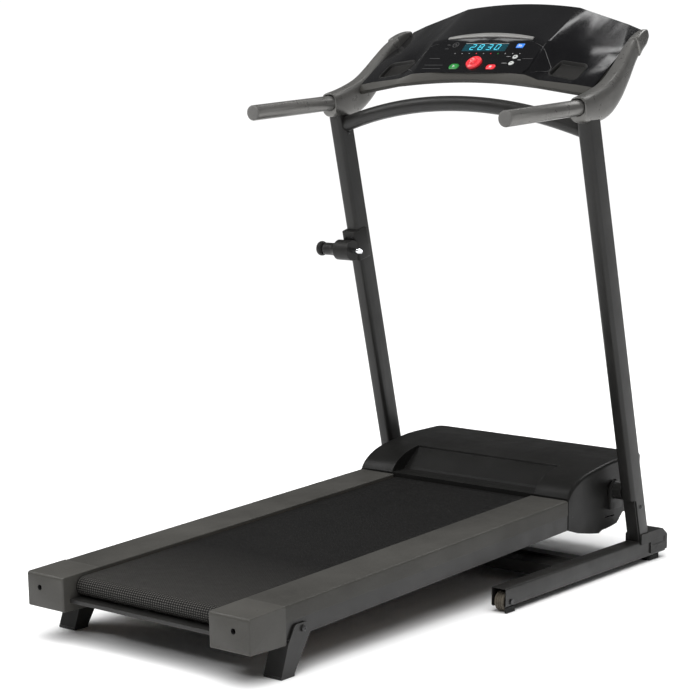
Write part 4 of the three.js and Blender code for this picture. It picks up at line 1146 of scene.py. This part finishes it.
# Each button's body, place on the panel, width, height, corner radius, material and slot.
for row in (("start", -60, 17, 31, 21, 9.5, GREEN, "green_button"),
            ("stop", 60, 16, 29, 19, 8.5, RED, "red_button"),
            ("speed_up", 118, 56, 15.6, 14.8, 7.2, PALE_BUTTON, "black_gloss"),
            ("speed_down", 118, 31, 15.6, 14.8, 7.2, PALE_BUTTON, "black_gloss"),
            ("workout", 112, 100, 23.6, 16.6, 2.5, BLUE, "blue_button")):
    panel_button(*row)
SYMBOL_LOW, SYMBOL_HIGH = 2.8, 3.4
SYMBOLS = {
    "start": (PALE_BUTTON, [(-63, 12.5), (-56, 17), (-63, 21.5)]),
    "stop": (PALE_BUTTON, rectangle(56.5, 63.5, 12.5, 19.5)),
    "speed_up": (BOLT, rectangle(114, 122, 55.1, 56.9), rectangle(117.1, 118.9, 52, 60)),
    "speed_down": (BOLT, rectangle(114, 122, 30.1, 31.9)),
    "workout": (PALE_BUTTON, rectangle(104, 120, 96.5, 98.5), rectangle(107, 111, 99.2, 104),
                rectangle(113, 117, 99.2, 102))}
for body, (material, *shapes) in SYMBOLS.items():
    mark(f"{body}_symbol", shapes, material, body, SYMBOL_LOW, SYMBOL_HIGH)


def safety_key():
    """A round key whose rim is knurled between its rounded edges."""
    up_panel = 30
    profile = [(0, -2.6), (22.4, -2.6), (23, -2.0), (23, 5.6), (22.2, 7.6), (20.4, 8.8), (15.5, 9.3),
               (13.6, 10.0), (12.4, 12.6), (10.2, 14.3), (6, 14.9), (0, 15)]
    rings = []
    for r, d in profile:
        ring = []
        for k, (c, s) in enumerate(around(72)):
            reach = r - 0.35 * abs(math.cos(TURN * k / 4)) if r > 22 and -2 <= d < 7 else r
            ring.append((reach * c, up_panel + reach * s, d))
        rings.append(ring)
    piece("safety_key_cap", loft(rings, capped=False), "key", RED, "red_button", "safety_key", place=PANEL,
          smooth=50)
    symbol = [*ring_mark(0, up_panel, 5.2, 1.1, 20), rectangle(-0.7, 0.7, 31, 37)]
    mark("safety_key_symbol", symbol, PALE_BUTTON, "key", 14.2, 15.0)


safety_key()

# ---------------------------------------------------------------- storage latch
def latch():
    """A housing round the upright, with a flared neck that the pin's knob pulls out of."""
    axis = (0, 1276.0, 823.0)

    def tube_cutter():
        tube = outlined(rectangle(-UPRIGHT_X - 20.8, -UPRIGHT_X + 20.8, -30.5, 30.5), 11, 6)
        return solid("cutter", prism(tube, 700, 1000), LEANED)

    flare = [(0, -478), (15.5, -478), (17.3, -476.2), (17.5, -472), (17.5, -452), (18.3, -444), (20.6, -437),
             (24.6, -431), (28.5, -429), (28.5, -380), (0, -380)]
    ring = [(7.6, -480), (14.5, -480), (14.5, -477), (7.6, -477), (7.6, -480)]
    knob = [(0, -500), (9, -500), (15.2, -499.2), (18.4, -497.4), (20.3, -494.2), (20.9, -490.5),
            (20.3, -486), (18.6, -482.6), (16.2, -480.6), (12, -480.2), (7.4, -480.2), (7.4, -493), (0, -493)]
    outline = outlined(rectangle(-UPRIGHT_X - 25.4, -UPRIGHT_X + 25.4, -46, 8), [9, 9, 3, 3], 6)
    saddle = solid("latch_saddle", prism(outline, 826, 912), LEANED, round_=3.5, segments=4, smooth=45)
    dress(carved(saddle, tube_cutter(), smooth=45), "frame", PLASTIC, "graphite_plastic", "latch_housing")
    neck = solid("latch_neck", lathe(flare, "x", axis, 56), smooth=50)
    dress(carved(neck, tube_cutter(), smooth=50), "frame", PLASTIC, "graphite_plastic")
    piece("latch_neck_ring", lathe(ring, "x", axis, 56), "frame", RUBBER, smooth=40)
    head = [(0, -48.7), (2.6, -48.6), (3.6, -47.6), (3.6, -45.2), (0, -45.2)]
    for k, up in enumerate((846, 894)):
        for j, x in enumerate((-416, -392)):
            piece(f"latch_screw_{k}_{j}", lathe(head, "y", (x, 0, up), 20), "frame", BOLT, place=LEANED)
    piece("latch_pull_knob", lathe(knob, "x", axis, 60), "latch", PLASTIC, "graphite_plastic", "latch_knob",
          smooth=50)


latch()


# ---------------------------------------------------------------- wheels, bolts and small hardware
def transport_wheel(side_name, side):
    low, high = local(f"transport_wheel_{side_name}")
    middle = (low + high) / 2
    half, radius = (high.x - low.x) / 2, (high.z - low.z) / 2
    tread = [(radius - 2.4, -half + 2), (radius, -half + 4)]
    for groove in (-6.0, 0.0, 6.0):
        tread += [(radius, groove - 1.4), (radius - 1.5, groove - 0.7), (radius - 1.5, groove + 0.7),
                  (radius, groove + 1.4)]
    tread += [(radius, half - 4), (radius - 2.4, half - 2)]
    profile = [(4.6, -half), (8, -half), (8, -half + 5), (16.5, -half + 5), (18.5, -half + 2), *tread,
               (18.5, half - 2), (16.5, half - 5), (8, half - 5), (8, half), (4.6, half), (4.6, -half)]
    piece(f"transport_wheel_tyre_{side_name}", lathe(profile, "x", middle, 56), f"wheel_{side_name}", WHEEL,
          "wheel_plastic", f"transport_wheel_{side_name}", smooth=35)


both_sides(transport_wheel)


def bolt_head(name, body, centre, outwards, radius, tall, recess=True):
    """A button-head bolt with a hexagon socket, its axis along x."""
    dome = [(0, 0), (radius, 0), (radius, tall * 0.25), (radius * 0.93, tall * 0.6),
            (radius * 0.74, tall * 0.9), (radius * 0.5, tall)]
    dome += [(radius * 0.42, tall), (radius * 0.40, tall * 0.35), (0, tall * 0.35)] if recess else [(0, tall)]
    steps, sixth = 36, math.pi / 3
    rings = []
    for r, d in dome:
        ring = []
        for k, (c, s) in enumerate(around(steps)):
            reach = r
            if recess and 0 < r < radius * 0.45:
                reach = r * math.cos(sixth / 2) / math.cos((TURN * k / steps) % sixth - sixth / 2)
            ring.append((centre[0] + outwards * d, centre[1] + reach * c, centre[2] + reach * s))
        rings.append(ring)
    return piece(name, loft(rings, capped=False), body, BOLT, smooth=40)


for side_name, side in SIDES:
    bolt_head(f"upright_foot_bolt_{side_name}", "frame", (side * 424.1, 1511, 160), side, 5.4, 2.6)
    bolt_head(f"leg_bolt_{side_name}", f"leg_{side_name}", (side * 354.9, 179, 103), side, 6.6, 1.4)
    bolt_head(f"hood_screw_{side_name}", "deck", (side * 347.0, 1292, 160), side, 2.6, 0.9)
    bolt_head(f"crossbar_bolt_upper_{side_name}", "frame", (side * 383.6, 1266, 1196), -side, 5.0, 3.0)
    bolt_head(f"crossbar_bolt_lower_{side_name}", "frame", (side * 383.6, 1262, 1152), -side, 5.0, 3.0)
    bolt_head(f"wheel_bolt_{side_name}", "frame", (side * 427.8, 895, 26.2), side, 5.5, 0.15, recess=False)


# ---------------------------------------------------------------- floor
def floor():
    bpy.ops.mesh.primitive_plane_add(size=60, location=(0, 8, -0.0005))
    ground = bpy.context.active_object
    ground.name = "floor"
    s = Surface("floor_paper", 0.75, specular=0.2)
    s.colour(s.blend(s.spread(s.noise(2), 0, 1), (0.90, 0.90, 0.90), (0.93, 0.93, 0.93)))
    ground.data.materials.append(s.material)


floor()
